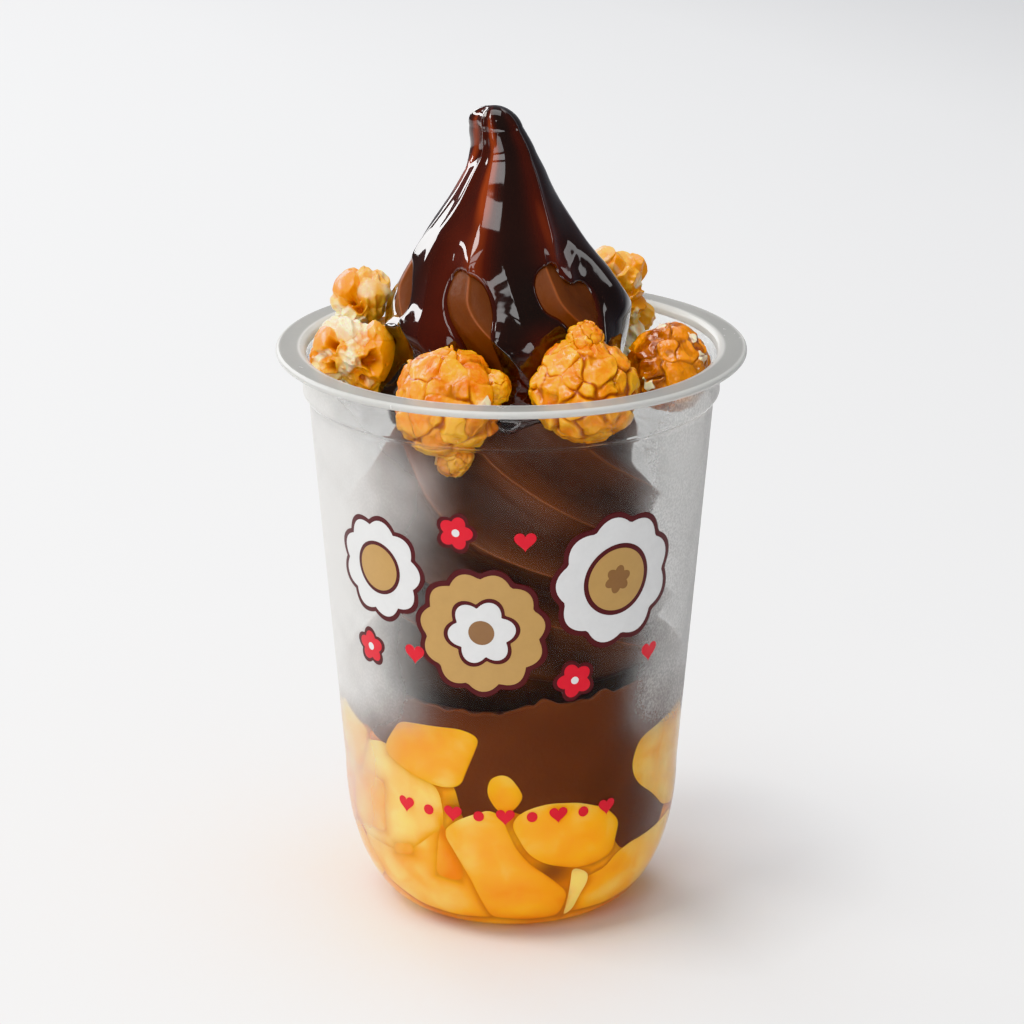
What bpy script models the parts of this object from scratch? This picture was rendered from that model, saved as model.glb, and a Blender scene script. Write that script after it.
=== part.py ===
"""Chocolate sundae in a clear cup with a rounded foot.

From the bottom up: diced mango, a base of chocolate soft ice cream, a ribbed coil
of it that ends in a tall swirl, a coat of chocolate sauce over the swirl, and seven
caramel popcorns in a ring between the swirl and the rim.

Lengths are in millimetres and angles in degrees until a mesh is made, which is in
metres. The origin is the centre of the cup's foot, +Z is up, and the front is -Y.
"""
import bmesh
import bpy
import math
import numpy as np
from mathutils import Euler, Vector

MM = 0.001
GAP = 0.3                      # kept between pieces that touch
RIBS = 7                       # of the nozzle's star, round the ice cream
SIDES = 6 * RIBS               # facets round the cup and the ice cream
SIDE_ANGLE = 360.0 / SIDES

# Cup: a 95 mm rim, a straight taper, and an elliptical turn down to a small foot.
CUP_HEIGHT = 118.0
RIM_RADIUS = 47.5
RIM_WIDTH = 5.2
LIP_HEIGHT = 1.5
WALL = 0.7
NECK_RADIUS = 42.1
NECK_DEPTH = 9.2               # from the rim's top down to the ledge
LEDGE_HEIGHT = 0.9
TAPER_TOP_RADIUS = 40.97
TAPER_FOOT_RADIUS = 34.35
TURN_HEIGHT = 29.4             # height at which the taper turns in to the foot
FOOT_RADIUS = 19.8
RECESS_RADIUS = 14.2
RECESS_DEPTH = 0.8
NECK_FOOT = CUP_HEIGHT - NECK_DEPTH
TAPER_TOP = NECK_FOOT - LEDGE_HEIGHT
INNER_FOOT_RADIUS = FOOT_RADIUS - 0.2
TURN_ROWS = 6

# Mango: where the ice cream sits on it at the wall, and its dice.
HEAP_SIDES = 24
MANGO_FLOOR = RECESS_DEPTH + WALL + GAP
MANGO_MIDDLE_HEIGHT = 41.0
MANGO_CEILING = 49.0
MANGO_TOP = [(-180, 46), (-130, 46.5), (-106, 47), (-96, 38), (-84, 32.5), (-60, 30),
             (-47, 27), (-38, 31), (-26, 44), (0, 45), (60, 42), (120, 45)]
CORE_INSET = 6.0               # the core of the heap stays this far from the wall
DICE = 15.0                    # edge of a mango dice
DICE_SINK = 5.5                # a dice's middle lies this far inside the wall
SHOWN_DICE = [(-120, 40, 1.05), (-93, 30, 0.65), (-100, 20, 1.1), (-68, 23, 1.15),
              (-27, 36, 1.1), (-40, 11, 1.0), (-150, 31, 1.1), (-128, 17, 1.05),
              (-70, 8, 1.0)]   # azimuth, height, share of the full size
HIDDEN_DICE_TIERS = [(11, 4, 12.0), (25, 5, -4.0), (39, 4, 20.0)]   # height, count, turn
HIDDEN_DICE_SPAN = (-8.0, 196.0)
HEAP_ROWS = 4
ROOM_ROWS = 7
TOP_SHARES = np.array([0.4, 0.75, 1.0])   # rings of the mango's top, out to the wall

# Ice cream: the base's upper edge on the wall, and the coil's lower lip, by azimuth.
BASE_EDGE = [(-160, 50), (-128, 52), (-90, 50.8), (-71, 54), (-61, 52), (-34, 51.5),
             (20, 53), (70, 50.5), (120, 53), (200, 50)]
COIL_LIP = [(-147, 66), (-100, 61), (-80, 56.5), (-49, 53.5), (0, 56), (60, 62),
            (120, 67)]
BASE_FLOOR = 48.5
BASE_FILM = 1.6
SHADOW_RADIUS = 26.5           # how far in the hollow under the coil's lip goes
LIP_ROUNDING = 7.0
COIL_ROWS = 12
COIL_TOP = 103.0
SWIRL_HEIGHTS = np.array([103, 106.5, 110, 114, 118, 122, 126, 130, 134, 138, 142, 146,
                          150.5, 155])
SWIRL_RADIUS = [(50, 34), (65, 34.2), (75, 33.4), (83, 32.6), (90, 29.4), (97.5, 25.5),
                (104, 24.2), (111.5, 22.0), (118, 23.0), (125, 23.5), (130, 21.9),
                (137, 17.7), (142, 14.2), (150, 8.6), (156, 5.2)]
SWIRL_CENTRE_X = [(60, -1.2), (84, -1.5), (97, 0.6), (110, 0), (129, -0.8), (140, -1.9),
                  (150, -1.5), (158, -1.1), (162, -2.0), (167, -3.4)]
ICE_PEAK = 157.5
TIP_HEIGHTS = [158.5, 161.5, 164, 166]
CREST_AZIMUTH = -60.0          # of one rib's crest above the twist
RIB_TWIST = [(54, 240), (60, 230), (63, 219), (71, 184), (78, 147), (89, 102),
             (101, 61), (122, 22), (133, 0)]
RIB_DEPTH = [(56, 0.5), (62, 2.6), (90, 3.2), (110, 2.2), (135, 2.4), (150, 1.2),
             (157, 0.4)]
CREST_ROUNDING = 0.12
SAUCE_CREST_ROUNDING = 0.45

# Sauce: a coat over the swirl that leaves some of the ribs bare.
SAUCE_COAT = 1.1
SAUCE_PEAK = 167.0
SAUCE_RADIUS = [(104, 20), (116, 24.2), (125, 24.9), (130, 23.3), (133.3, 21.7),
                (137.4, 19.0), (141.5, 15.9), (145.6, 12.8), (149.8, 10.1), (153.9, 8.0),
                (158, 5.8), (162, 4.6), (164, 3.9), (166.1, 2.6)]
SAUCE_RIB_SHARE = 0.4          # depth of the sauce's ribs as a share of the ice cream's
COVERED = 0.0
BARE_RIB_TOPS = [138.5, COVERED, 137.0, COVERED, 139.0, 137.5, 138.0]
BARE_LEFT = 4.4                # from a bare rib's crest to the sauce on either side
BARE_RIGHT = 8.0
SAUCE_FOOT = [(-170, 121), (-135, 113), (-115, 116), (-92, 110), (-70, 117), (-45, 113),
              (-20, 118), (30, 114), (70, 117), (110, 113), (150, 118), (190, 121)]
TAIL_AZIMUTH = 160.0           # the curled tip's tail
TAIL_HALF_ANGLE = 22.0
TAIL_HEIGHT = [(154, 0), (158, 1.6), (162, 2.1), (165, 1.5), (167, 0)]

# Popcorn: the balls that make each one up, as (x, y, z, radius).
MUSHROOM = "mushroom"
BUTTERFLY = "butterfly"
POPCORNS = [
    (MUSHROOM, [(-12.4, -27.2, 114.0, 10.9), (-11.2, -27.0, 102.6, 3.6),
                (-3.6, -27.6, 117.0, 3.4)]),
    (MUSHROOM, [(14.2, -26.4, 116.0, 10.7), (14.4, -25.6, 126.2, 3.4)]),
    (MUSHROOM, [(31.3, -6.5, 114.8, 9.0)]),
    (BUTTERFLY, [(-31.4, -5.0, 116.8, 8.9)]),
    (BUTTERFLY, [(-30.2, 12.5, 123.6, 6.8), (-28.6, 14.5, 114.5, 7.6)]),
    (BUTTERFLY, [(21.3, 21.5, 126.0, 6.8), (21.8, 22.0, 115.5, 8.2)]),
    (MUSHROOM, [(-2.5, 30.0, 115.5, 10.4)]),
]
PLATES = 26                    # puffed plates on a mushroom popcorn
PLATE_GROOVE = 0.16            # depth of the grooves, as a share of the radius
LOBES = 7
DENT_SPACE = 2.0               # ice cream stays this far from a popcorn, for the sauce

COLOURS = {
    "cup": ((0.80, 0.82, 0.82, 0.35), 0.18),
    "mango_dice": ((0.95, 0.55, 0.08, 1.0), 0.35),
    "chocolate_ice_cream": ((0.16, 0.07, 0.04, 1.0), 0.55),
    "chocolate_sauce": ((0.025, 0.010, 0.008, 1.0), 0.08),
    MUSHROOM: ((0.85, 0.42, 0.08, 1.0), 0.30),
    BUTTERFLY: ((0.90, 0.66, 0.30, 1.0), 0.45),
}


# ---------------------------------------------------------------- curves by name

def smooth_curve(knots, places):
    """Monotone cubic curve through the (place, value) knots, read at the places."""
    at, value = np.array(knots, dtype=float).T
    step = np.diff(at)
    slope = np.diff(value) / step
    before, after = slope[:-1], slope[1:]
    same_way = before * after > 0
    both = np.where(same_way, before + after, 1.0)
    middle = np.where(same_way, 2 * before * after / both, 0)
    tangent = np.concatenate([slope[:1], middle, slope[-1:]])
    x = np.clip(places, at[0], at[-1])
    i = np.clip(np.searchsorted(at, x) - 1, 0, len(step) - 1)
    t = (x - at[i]) / step[i]
    rise = value[i] * (1 + 2 * t) * (1 - t) ** 2 + value[i + 1] * t * t * (3 - 2 * t)
    return rise + step[i] * (tangent[i] * t * (1 - t) ** 2 - tangent[i + 1] * t * t * (1 - t))


def around(knots, azimuth):
    """The same curve closed into a ring: the knots repeat every 360 degrees."""
    ring = [(place + turn, value) for turn in (-360, 0, 360) for place, value in knots]
    ring = sorted(dict(ring).items())
    return smooth_curve(ring, (np.asarray(azimuth) + 180.0) % 360.0 - 180.0)


def smooth_step(low, high, x):
    t = np.clip((x - low) / (high - low), 0.0, 1.0)
    return t * t * (3 - 2 * t)


def angle_between(a, b):
    """Signed difference of two azimuths, from -180 to 180."""
    return (a - b + 180.0) % 360.0 - 180.0


# ---------------------------------------------------------------- meshes

def material(name, colour, roughness):
    made = bpy.data.materials.new(name)
    made.use_nodes = True
    shader = made.node_tree.nodes["Principled BSDF"]
    shader.inputs["Base Color"].default_value = colour
    shader.inputs["Roughness"].default_value = roughness
    shader.inputs["Metallic"].default_value = 0.0
    return made


def new_object(name, points, faces, collection):
    """An object from points in millimetres and its faces."""
    mesh = bpy.data.meshes.new(name)
    mesh.from_pydata((np.asarray(points) * MM).tolist(), [], faces)
    mesh.validate()
    made = bpy.data.objects.new(name, mesh)
    collection.objects.link(made)
    return made


def closed_loft(name, rings, bottom, top, collection):
    """Closed surface through rings of points, from the bottom pole to the top pole.

    Each four-sided cell is split along its shorter diagonal, so twisted ribs stay smooth.
    """
    rows, sides, _ = rings.shape
    points = np.vstack([rings.reshape(-1, 3), [bottom], [top]])
    row, side = np.meshgrid(np.arange(rows - 1), np.arange(sides), indexing="ij")
    after = (side + 1) % sides
    a, b = (row * sides + side).ravel(), (row * sides + after).ravel()
    c, d = b + sides, a + sides
    first = np.linalg.norm(points[a] - points[c], axis=1)
    second = np.linalg.norm(points[b] - points[d], axis=1)
    cut = (first <= second)[:, None]
    faces = np.where(cut, np.column_stack([a, b, c]), np.column_stack([a, b, d]))
    others = np.where(cut, np.column_stack([a, c, d]), np.column_stack([b, c, d]))
    start = np.arange(sides)
    onward = (start + 1) % sides
    last = (rows - 1) * sides
    foot = np.column_stack([onward, start, np.full(sides, rows * sides)])
    head = np.column_stack([last + start, last + onward, np.full(sides, rows * sides + 1)])
    return new_object(name, points, np.vstack([faces, others, foot, head]).tolist(), collection)


def ring_points(radius, azimuth, height, centre_x=0.0):
    """Points at the given radii, azimuths and heights, as one array."""
    angle = np.radians(azimuth)
    radius, angle, height = np.broadcast_arrays(radius, angle, height)
    return np.stack([centre_x + radius * np.cos(angle), radius * np.sin(angle), height], axis=-1)


def boolean(target, operation, cutter=None, group=None):
    modifier = target.modifiers.new(operation.title(), "BOOLEAN")
    modifier.operation = operation
    modifier.solver = "EXACT"
    if group is None:
        modifier.object = cutter
    else:
        modifier.operand_type = "COLLECTION"
        modifier.collection = group


def apply_modifiers(target):
    evaluated = target.evaluated_get(bpy.context.evaluated_depsgraph_get())
    mesh = bpy.data.meshes.new_from_object(evaluated)
    target.modifiers.clear()
    target.data = mesh


def hide_cutter(cutter):
    cutter.hide_render = True
    cutter.display_type = "WIRE"


# ---------------------------------------------------------------- cup

def turn_in(height, top_radius, foot_radius, foot_height):
    """Radius of the quarter ellipse that joins the taper to the foot."""
    fall = np.clip((TURN_HEIGHT - height) / (TURN_HEIGHT - foot_height), 0.0, 1.0)
    return foot_radius + (top_radius - foot_radius) * np.sqrt(1.0 - fall ** 2)


def inner_radius(height):
    """Radius of the cup's inner wall below the ledge."""
    height = np.asarray(height, dtype=float)
    rise = (height - TURN_HEIGHT) / (TAPER_TOP - TURN_HEIGHT)
    taper = TAPER_FOOT_RADIUS + (TAPER_TOP_RADIUS - TAPER_FOOT_RADIUS) * rise - WALL
    turn = turn_in(height, TAPER_FOOT_RADIUS - WALL, INNER_FOOT_RADIUS, WALL)
    return np.where(height > TURN_HEIGHT, taper, turn)


def turn_heights(foot_height):
    """Heights of the points on the turn, spaced evenly round the ellipse."""
    quarter = np.linspace(0, math.pi / 2, TURN_ROWS + 1)[1:]
    return TURN_HEIGHT - (TURN_HEIGHT - foot_height) * np.cos(quarter)


def cup_profile():
    """The wall's section: up the inside, over the rim and down the outside."""
    lip = LIP_HEIGHT / 2
    inner_neck = NECK_RADIUS - WALL
    rim_inner = RIM_RADIUS - RIM_WIDTH
    rim_bottom = CUP_HEIGHT - LIP_HEIGHT
    recess_inside = RECESS_DEPTH + WALL
    inside = [(0, recess_inside), (RECESS_RADIUS - 0.3, recess_inside),
              (RECESS_RADIUS + 0.7, WALL), (INNER_FOOT_RADIUS, WALL)]
    inside += [(float(inner_radius(z)), float(z)) for z in turn_heights(WALL)]
    inside += [(TAPER_TOP_RADIUS - WALL, TAPER_TOP), (inner_neck, NECK_FOOT),
               (inner_neck, rim_bottom), (inner_neck + 0.25, CUP_HEIGHT - 0.5),
               (rim_inner + 0.3, CUP_HEIGHT)]
    curl = [math.radians(angle) for angle in (90, 45, 0, -45, -90)]
    rim = [(RIM_RADIUS - lip + lip * math.cos(a), CUP_HEIGHT - lip + lip * math.sin(a))
           for a in curl]
    outside = [(NECK_RADIUS + 0.5, rim_bottom), (NECK_RADIUS, rim_bottom - 0.5),
               (NECK_RADIUS, NECK_FOOT), (TAPER_TOP_RADIUS, TAPER_TOP)]
    outside += [(float(turn_in(z, TAPER_FOOT_RADIUS, FOOT_RADIUS, 0.0)), float(z))
                for z in turn_heights(0.0)[::-1]]
    outside += [(FOOT_RADIUS, 0), (RECESS_RADIUS + 1.0, 0), (RECESS_RADIUS, RECESS_DEPTH),
                (0, RECESS_DEPTH)]
    return inside + rim + outside


def add_cup(collection):
    profile = [(radius, 0.0, height) for radius, height in cup_profile()]
    mesh = bpy.data.meshes.new("cup")
    edges = [(i, i + 1) for i in range(len(profile) - 1)]
    mesh.from_pydata([Vector(point) * MM for point in profile], edges, [])
    cup = bpy.data.objects.new("cup", mesh)
    collection.objects.link(cup)
    screw = cup.modifiers.new("Turn", "SCREW")
    screw.axis = "Z"
    screw.steps = screw.render_steps = SIDES
    screw.use_merge_vertices = True
    screw.merge_threshold = 0.00001
    screw.use_smooth_shade = True
    return cup


# ---------------------------------------------------------------- mango

def mango_top(azimuth, share):
    """Height of the mango's top, by azimuth and by share of the way out to the wall."""
    wall_height = around(MANGO_TOP, azimuth)
    return MANGO_MIDDLE_HEIGHT + (wall_height - MANGO_MIDDLE_HEIGHT) * smooth_step(0.2, 1.0, share)


def mango_space(name, inset, rows, collection):
    """The inside of the cup as far up as the mango goes, less the inset."""
    azimuth = 360.0 / HEAP_SIDES * np.arange(HEAP_SIDES)
    heights = MANGO_FLOOR + (MANGO_CEILING - MANGO_FLOOR) * np.linspace(0.0, 1.0, rows) ** 1.3
    rings = [ring_points(inner_radius(height) - inset, azimuth, height) for height in heights]
    floor, ceiling = (0, 0, MANGO_FLOOR), (0, 0, MANGO_CEILING)
    return closed_loft(name, np.array(rings), floor, ceiling, collection)


def meeting_rings(lift):
    """Rings of the surface where mango and ice cream meet, out to the cup's wall."""
    azimuth = column_azimuth(0.0)
    reach = inner_radius(mango_top(azimuth, 1.0)) - GAP
    return [ring_points(reach * share, azimuth, mango_top(azimuth, share) + lift)
            for share in TOP_SHARES]


def ice_cream_foot(collection):
    """Everything above the meeting surface, which is cut from the mango."""
    azimuth = column_azimuth(0.0)
    above = MANGO_CEILING + 2
    rings = meeting_rings(-GAP / 2)
    for height in (mango_top(azimuth, 1.0) - GAP / 2, above):
        rings.append(ring_points(TAPER_TOP_RADIUS, azimuth, height))
    middle = (0, 0, MANGO_MIDDLE_HEIGHT - GAP / 2)
    return closed_loft("foot", np.array(rings), middle, (0, 0, above), collection)


def dice_places(random):
    """Azimuth, height and size of each dice: those that show, then a ring behind."""
    yield from SHOWN_DICE
    first, last = HIDDEN_DICE_SPAN
    for height, count, turn in HIDDEN_DICE_TIERS:
        for k in range(count):
            azimuth = first + turn + (last - first) * (k + 0.5) / count
            yield azimuth, height + random.uniform(-2, 2), random.uniform(0.9, 1.12)


def add_mango(collection, cutters):
    """One heap: a smooth core with dice fused on, cut to the cup and the ice cream."""
    random = np.random.default_rng(11)
    heap = mango_space("mango_dice", CORE_INSET, HEAP_ROWS, collection)
    dice_group = bpy.data.collections.new("dice")
    for azimuth, height, share in dice_places(random):
        reach = float(inner_radius(height)) - DICE_SINK * share
        bpy.ops.mesh.primitive_cube_add(size=DICE * share * MM)
        dice = bpy.context.object
        bpy.context.collection.objects.unlink(dice)
        dice_group.objects.link(dice)
        dice.location = Vector((reach * math.cos(math.radians(azimuth)),
                                reach * math.sin(math.radians(azimuth)), height)) * MM
        tilt = random.uniform(-0.4, 0.4, 2)
        facing = math.radians(azimuth + random.uniform(-25, 25))
        dice.rotation_euler = Euler((tilt[0], tilt[1], facing))
    bpy.context.scene.collection.children.link(dice_group)
    boolean(heap, "UNION", group=dice_group)
    apply_modifiers(heap)
    for dice in list(dice_group.objects):
        bpy.data.objects.remove(dice)
    bpy.data.collections.remove(dice_group)
    room = mango_space("room", GAP, ROOM_ROWS, cutters)
    hide_cutter(room)
    boolean(heap, "INTERSECT", cutter=room)
    foot = ice_cream_foot(cutters)
    hide_cutter(foot)
    boolean(heap, "DIFFERENCE", cutter=foot)
    return heap


# ---------------------------------------------------------------- ice cream and sauce

def column_azimuth(height):
    """Azimuths of the mesh's columns, which follow the ribs' twist."""
    start = CREST_AZIMUTH + SIDE_ANGLE * np.arange(SIDES)
    return start + smooth_curve(RIB_TWIST, height)


def valley(rounding):
    """0 on a rib's crest and 1 in the valley, along the columns."""
    share = np.abs(np.sin(np.pi * RIBS * np.arange(SIDES) / SIDES))
    full = math.sqrt(1 + rounding ** 2) - rounding
    return (np.sqrt(share ** 2 + rounding ** 2) - rounding) / full


def popcorn_limit(azimuth, height, centre_x, space):
    """How far the swirl may reach before it meets a popcorn's ball, kept off by space."""
    limit = np.full(np.broadcast(azimuth, height).shape, np.inf)
    for _, balls in POPCORNS:
        for x, y, z, radius in balls:
            away = np.hypot(x - centre_x, y)
            off = np.radians(angle_between(azimuth, np.degrees(np.arctan2(y, x - centre_x))))
            under = (radius + space) ** 2 - (height - z) ** 2 - (away * np.sin(off)) ** 2
            hit = away * np.cos(off) - np.sqrt(np.maximum(under, 0))
            limit = np.where((under > 0) & (np.cos(off) > 0), np.minimum(limit, hit), limit)
    return limit


def swirl_radius(height, azimuth, centre_x):
    """Radius of the ribbed swirl at its columns, pressed in by the popcorn."""
    depth = smooth_curve(RIB_DEPTH, height) * valley(CREST_ROUNDING)
    radius = smooth_curve(SWIRL_RADIUS, height) - depth
    return np.minimum(radius, popcorn_limit(azimuth, height, centre_x, DENT_SPACE))


def swirl_ring(height, swell=0.0):
    """One ring of the swirl, swollen outwards by the given distance."""
    centre_x = float(smooth_curve(SWIRL_CENTRE_X, height))
    azimuth = column_azimuth(height)
    return ring_points(swirl_radius(height, azimuth, centre_x) + swell, azimuth, height, centre_x)


def coil_rings():
    """Rings of the coil in the cup, from under its tilted lip up to the swirl."""
    rings = []
    for rise in np.linspace(0.0, 1.0, COIL_ROWS + 1)[:-1]:
        height = np.full(SIDES, 60.0)
        for _ in range(4):
            lip = around(COIL_LIP, column_azimuth(height))
            height = lip + (COIL_TOP - lip) * rise ** 1.15
        azimuth = column_azimuth(height)
        centre_x = smooth_curve(SWIRL_CENTRE_X, height)
        round_off = np.clip(1 - (height - lip) / LIP_ROUNDING, 0, 1)
        tuck = LIP_ROUNDING * (1 - np.sqrt(1 - round_off ** 2)) * 0.9
        radius = swirl_radius(height, azimuth, centre_x) - tuck
        rings.append(ring_points(radius, azimuth, height, centre_x))
    return rings


def base_rings():
    """Rings of the base: its underside on the mango, the wall, the film and the floor."""
    azimuth = column_azimuth(0.0)
    wall_foot = mango_top(azimuth, 1.0) + GAP / 2
    rings = meeting_rings(GAP / 2)
    edge = around(BASE_EDGE, azimuth)
    for rise in (0.3, 0.6, 0.85, 1.0):
        height = wall_foot + (edge - wall_foot) * rise
        rings.append(ring_points(inner_radius(height) - GAP, azimuth, height))
    film = inner_radius(edge) - GAP - BASE_FILM
    rings.append(ring_points(film, azimuth, edge - 0.8))
    rings.append(ring_points(film - 1.5, azimuth, BASE_FLOOR))
    rings.append(ring_points(SHADOW_RADIUS + 1.0, azimuth, BASE_FLOOR - 0.3))
    lip = around(COIL_LIP, azimuth)
    rings.append(ring_points(SHADOW_RADIUS - 0.5, azimuth, (BASE_FLOOR + lip) / 2))
    return rings


def add_ice_cream(collection):
    rings = base_rings() + coil_rings() + [swirl_ring(height) for height in SWIRL_HEIGHTS]
    peak_x = float(smooth_curve(SWIRL_CENTRE_X, ICE_PEAK))
    bottom, peak = (0, 0, MANGO_MIDDLE_HEIGHT + GAP / 2), (peak_x, 0, ICE_PEAK)
    return closed_loft("chocolate_ice_cream", np.array(rings), bottom, peak, collection)


def coat_thickness(azimuth, height):
    """Thickness of the sauce: full, below zero on bare ribs and under its foot."""
    place = np.arange(SIDES) * RIBS / SIDES
    rib = np.floor(place + BARE_LEFT / (BARE_LEFT + BARE_RIGHT)).astype(int)
    arc = (place - rib) * math.radians(360.0 / RIBS) * float(smooth_curve(SAUCE_RADIUS, height))
    bare_top = np.array(BARE_RIB_TOPS)[rib % RIBS]
    narrowing = np.sqrt(np.clip((bare_top - height) / 8.0, 0.0, 1.0))
    reach = np.where(arc > 0, BARE_RIGHT, BARE_LEFT) * narrowing
    outside_patch = np.maximum(np.abs(arc) - reach, height - bare_top)
    above_foot = (height - around(SAUCE_FOOT, azimuth)) * 0.5
    return np.clip(np.minimum(outside_patch, above_foot), -1.0, SAUCE_COAT)


def sauce_ring(height):
    """One ring of the sauce's outer surface, with the curled tip's tail on one side."""
    centre_x = float(smooth_curve(SWIRL_CENTRE_X, height))
    azimuth = column_azimuth(height)
    depth = smooth_curve(RIB_DEPTH, height) * SAUCE_RIB_SHARE * valley(SAUCE_CREST_ROUNDING)
    full = smooth_curve(SAUCE_RADIUS, height) - depth
    bare = swirl_radius(height, azimuth, centre_x)
    coat = coat_thickness(azimuth, height)
    radius = np.where(coat < SAUCE_COAT, np.minimum(full, bare + GAP + coat), full)
    turn = angle_between(azimuth, TAIL_AZIMUTH) / TAIL_HALF_ANGLE
    radius = radius + smooth_curve(TAIL_HEIGHT, height) * np.exp(-turn ** 2)
    radius = np.minimum(radius, popcorn_limit(azimuth, height, centre_x, GAP))
    return ring_points(radius, azimuth, height, centre_x)


def add_sauce(collection, cutters):
    """The coat: its outer form less the ice cream, swollen by the gap between them."""
    outer_heights = np.concatenate([SWIRL_HEIGHTS[1:], TIP_HEIGHTS])
    rings = np.array([sauce_ring(height) for height in outer_heights])
    peak_x = float(smooth_curve(SWIRL_CENTRE_X, SAUCE_PEAK))
    bottom = (0, 0, SWIRL_HEIGHTS[1] - 1)
    sauce = closed_loft("chocolate_sauce", rings, bottom, (peak_x, 0, SAUCE_PEAK), collection)
    inner = np.array([swirl_ring(height, swell=GAP + 0.1) for height in SWIRL_HEIGHTS])
    peak = (float(smooth_curve(SWIRL_CENTRE_X, ICE_PEAK)), 0, ICE_PEAK + 2 * GAP)
    core = closed_loft("sauce_core", inner, (0, 0, SWIRL_HEIGHTS[0] - 1), peak, cutters)
    hide_cutter(core)
    boolean(sauce, "DIFFERENCE", cutter=core)
    return sauce


# ---------------------------------------------------------------- popcorn

def fibonacci_directions(count, jitter, random):
    """Directions spread evenly over a sphere, then shaken a little."""
    k = np.arange(count) + 0.5
    polar = np.arccos(1 - 2 * k / count)
    turn = math.pi * (1 + math.sqrt(5)) * k
    spread = np.stack([np.cos(turn) * np.sin(polar), np.sin(turn) * np.sin(polar),
                       np.cos(polar)], axis=1)
    spread += random.normal(0, jitter, spread.shape)
    return spread / np.linalg.norm(spread, axis=1, keepdims=True)


def plate_reach(directions, random):
    """Share of the radius: rounded plates parted by grooves, on a mushroom popcorn."""
    plates = fibonacci_directions(PLATES, 0.12, random)
    lift = random.uniform(-0.03, 0.0, PLATES)
    angles = np.arccos(np.clip(directions @ plates.T, -1, 1))
    order = np.argsort(angles, axis=1)
    near, second = np.take_along_axis(angles, order[:, :2], axis=1).T
    groove = 1 - smooth_step(0.0, 0.22, second - near)
    return 1.0 + lift[order[:, 0]] - PLATE_GROOVE * groove


def ball_exit(directions, centre, radius):
    """Distance along each direction to the far side of a ball, from the origin."""
    along = directions @ centre
    under = along ** 2 - centre @ centre + radius ** 2
    return np.where(under > 0, along + np.sqrt(np.maximum(under, 0)), 0.0)


def lobe_reach(directions, random, bounds):
    """Distance out to a cluster of puffed lobes, kept inside the bounding balls."""
    size = bounds[0][1]
    reach = ball_exit(directions, np.zeros(3), 0.55 * size)
    limit = np.max([ball_exit(directions, centre, radius) for centre, radius in bounds], axis=0)
    for centre, radius in bounds:
        for way in fibonacci_directions(LOBES, 0.25, random):
            lobe = random.uniform(0.38, 0.5) * radius
            place = centre + way * (radius - lobe)
            reach = np.maximum(reach, ball_exit(directions, place, lobe))
    return np.minimum(reach, limit)


def add_popcorn(number, kind, balls, collection):
    """A sphere of triangles pushed out to the popcorn's plates or lobes."""
    random = np.random.default_rng(100 + number)
    balls = np.array(balls, dtype=float)
    origin = balls[:, :3].mean(axis=0)
    ball = bmesh.new()
    bmesh.ops.create_icosphere(ball, subdivisions=3, radius=1.0)
    directions = np.array([vertex.co[:] for vertex in ball.verts])
    directions /= np.linalg.norm(directions, axis=1, keepdims=True)
    faces = [[vertex.index for vertex in face.verts] for face in ball.faces]
    ball.free()
    if kind == MUSHROOM:
        origin = balls[0, :3]
        reach = balls[0, 3] * plate_reach(directions, random)
        for bump in balls[1:]:
            reach = np.maximum(reach, ball_exit(directions, bump[:3] - origin, bump[3]))
    else:
        bounds = [(place[:3] - origin, place[3]) for place in balls]
        reach = lobe_reach(directions, random, bounds)
    return new_object(f"popcorn_{number}", origin + directions * reach[:, None], faces, collection)


# ---------------------------------------------------------------- the sundae

def clear_scene():
    for item in list(bpy.data.objects):
        bpy.data.objects.remove(item)


def main():
    clear_scene()
    sundae = bpy.data.collections.new("chocolate_sundae")
    cutters = bpy.data.collections.new("cutters")
    bpy.context.scene.collection.children.link(sundae)
    bpy.context.scene.collection.children.link(cutters)
    parts = {"cup": add_cup(sundae), "mango_dice": add_mango(sundae, cutters),
             "chocolate_ice_cream": add_ice_cream(sundae),
             "chocolate_sauce": add_sauce(sundae, cutters)}
    kinds = dict(zip(parts, parts))
    for number, (kind, balls) in enumerate(POPCORNS, start=1):
        parts[f"popcorn_{number}"] = add_popcorn(number, kind, balls, sundae)
        kinds[f"popcorn_{number}"] = kind
    for name, part in parts.items():
        colour, roughness = COLOURS[kinds[name]]
        part.data.materials.append(material(name, colour, roughness))
        part.data.shade_smooth()


main()
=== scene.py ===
"""Looks of a chocolate sundae in a clear cup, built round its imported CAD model.

Lengths are in millimetres and angles in degrees until a mesh is made, which is in
metres. The origin is the centre of the cup's foot, +Z is up, and the front is -Y.
"""
import math

import bpy
import numpy as np
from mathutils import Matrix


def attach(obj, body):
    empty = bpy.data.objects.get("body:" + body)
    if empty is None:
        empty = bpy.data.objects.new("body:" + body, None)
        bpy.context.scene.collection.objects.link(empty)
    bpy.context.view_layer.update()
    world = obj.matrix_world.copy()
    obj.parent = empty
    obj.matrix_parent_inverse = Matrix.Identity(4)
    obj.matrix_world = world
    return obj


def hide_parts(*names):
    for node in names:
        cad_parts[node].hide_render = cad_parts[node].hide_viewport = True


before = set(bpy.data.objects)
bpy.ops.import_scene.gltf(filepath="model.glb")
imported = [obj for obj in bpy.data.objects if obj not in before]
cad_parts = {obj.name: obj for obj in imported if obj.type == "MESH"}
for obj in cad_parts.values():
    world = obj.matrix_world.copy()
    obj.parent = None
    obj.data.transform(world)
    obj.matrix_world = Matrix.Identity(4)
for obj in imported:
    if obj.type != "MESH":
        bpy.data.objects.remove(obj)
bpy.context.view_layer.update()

MM = 0.001
FINE = 1.0       # share of the full mesh density

# ---------------------------------------------------------------- the CAD's named values

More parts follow.
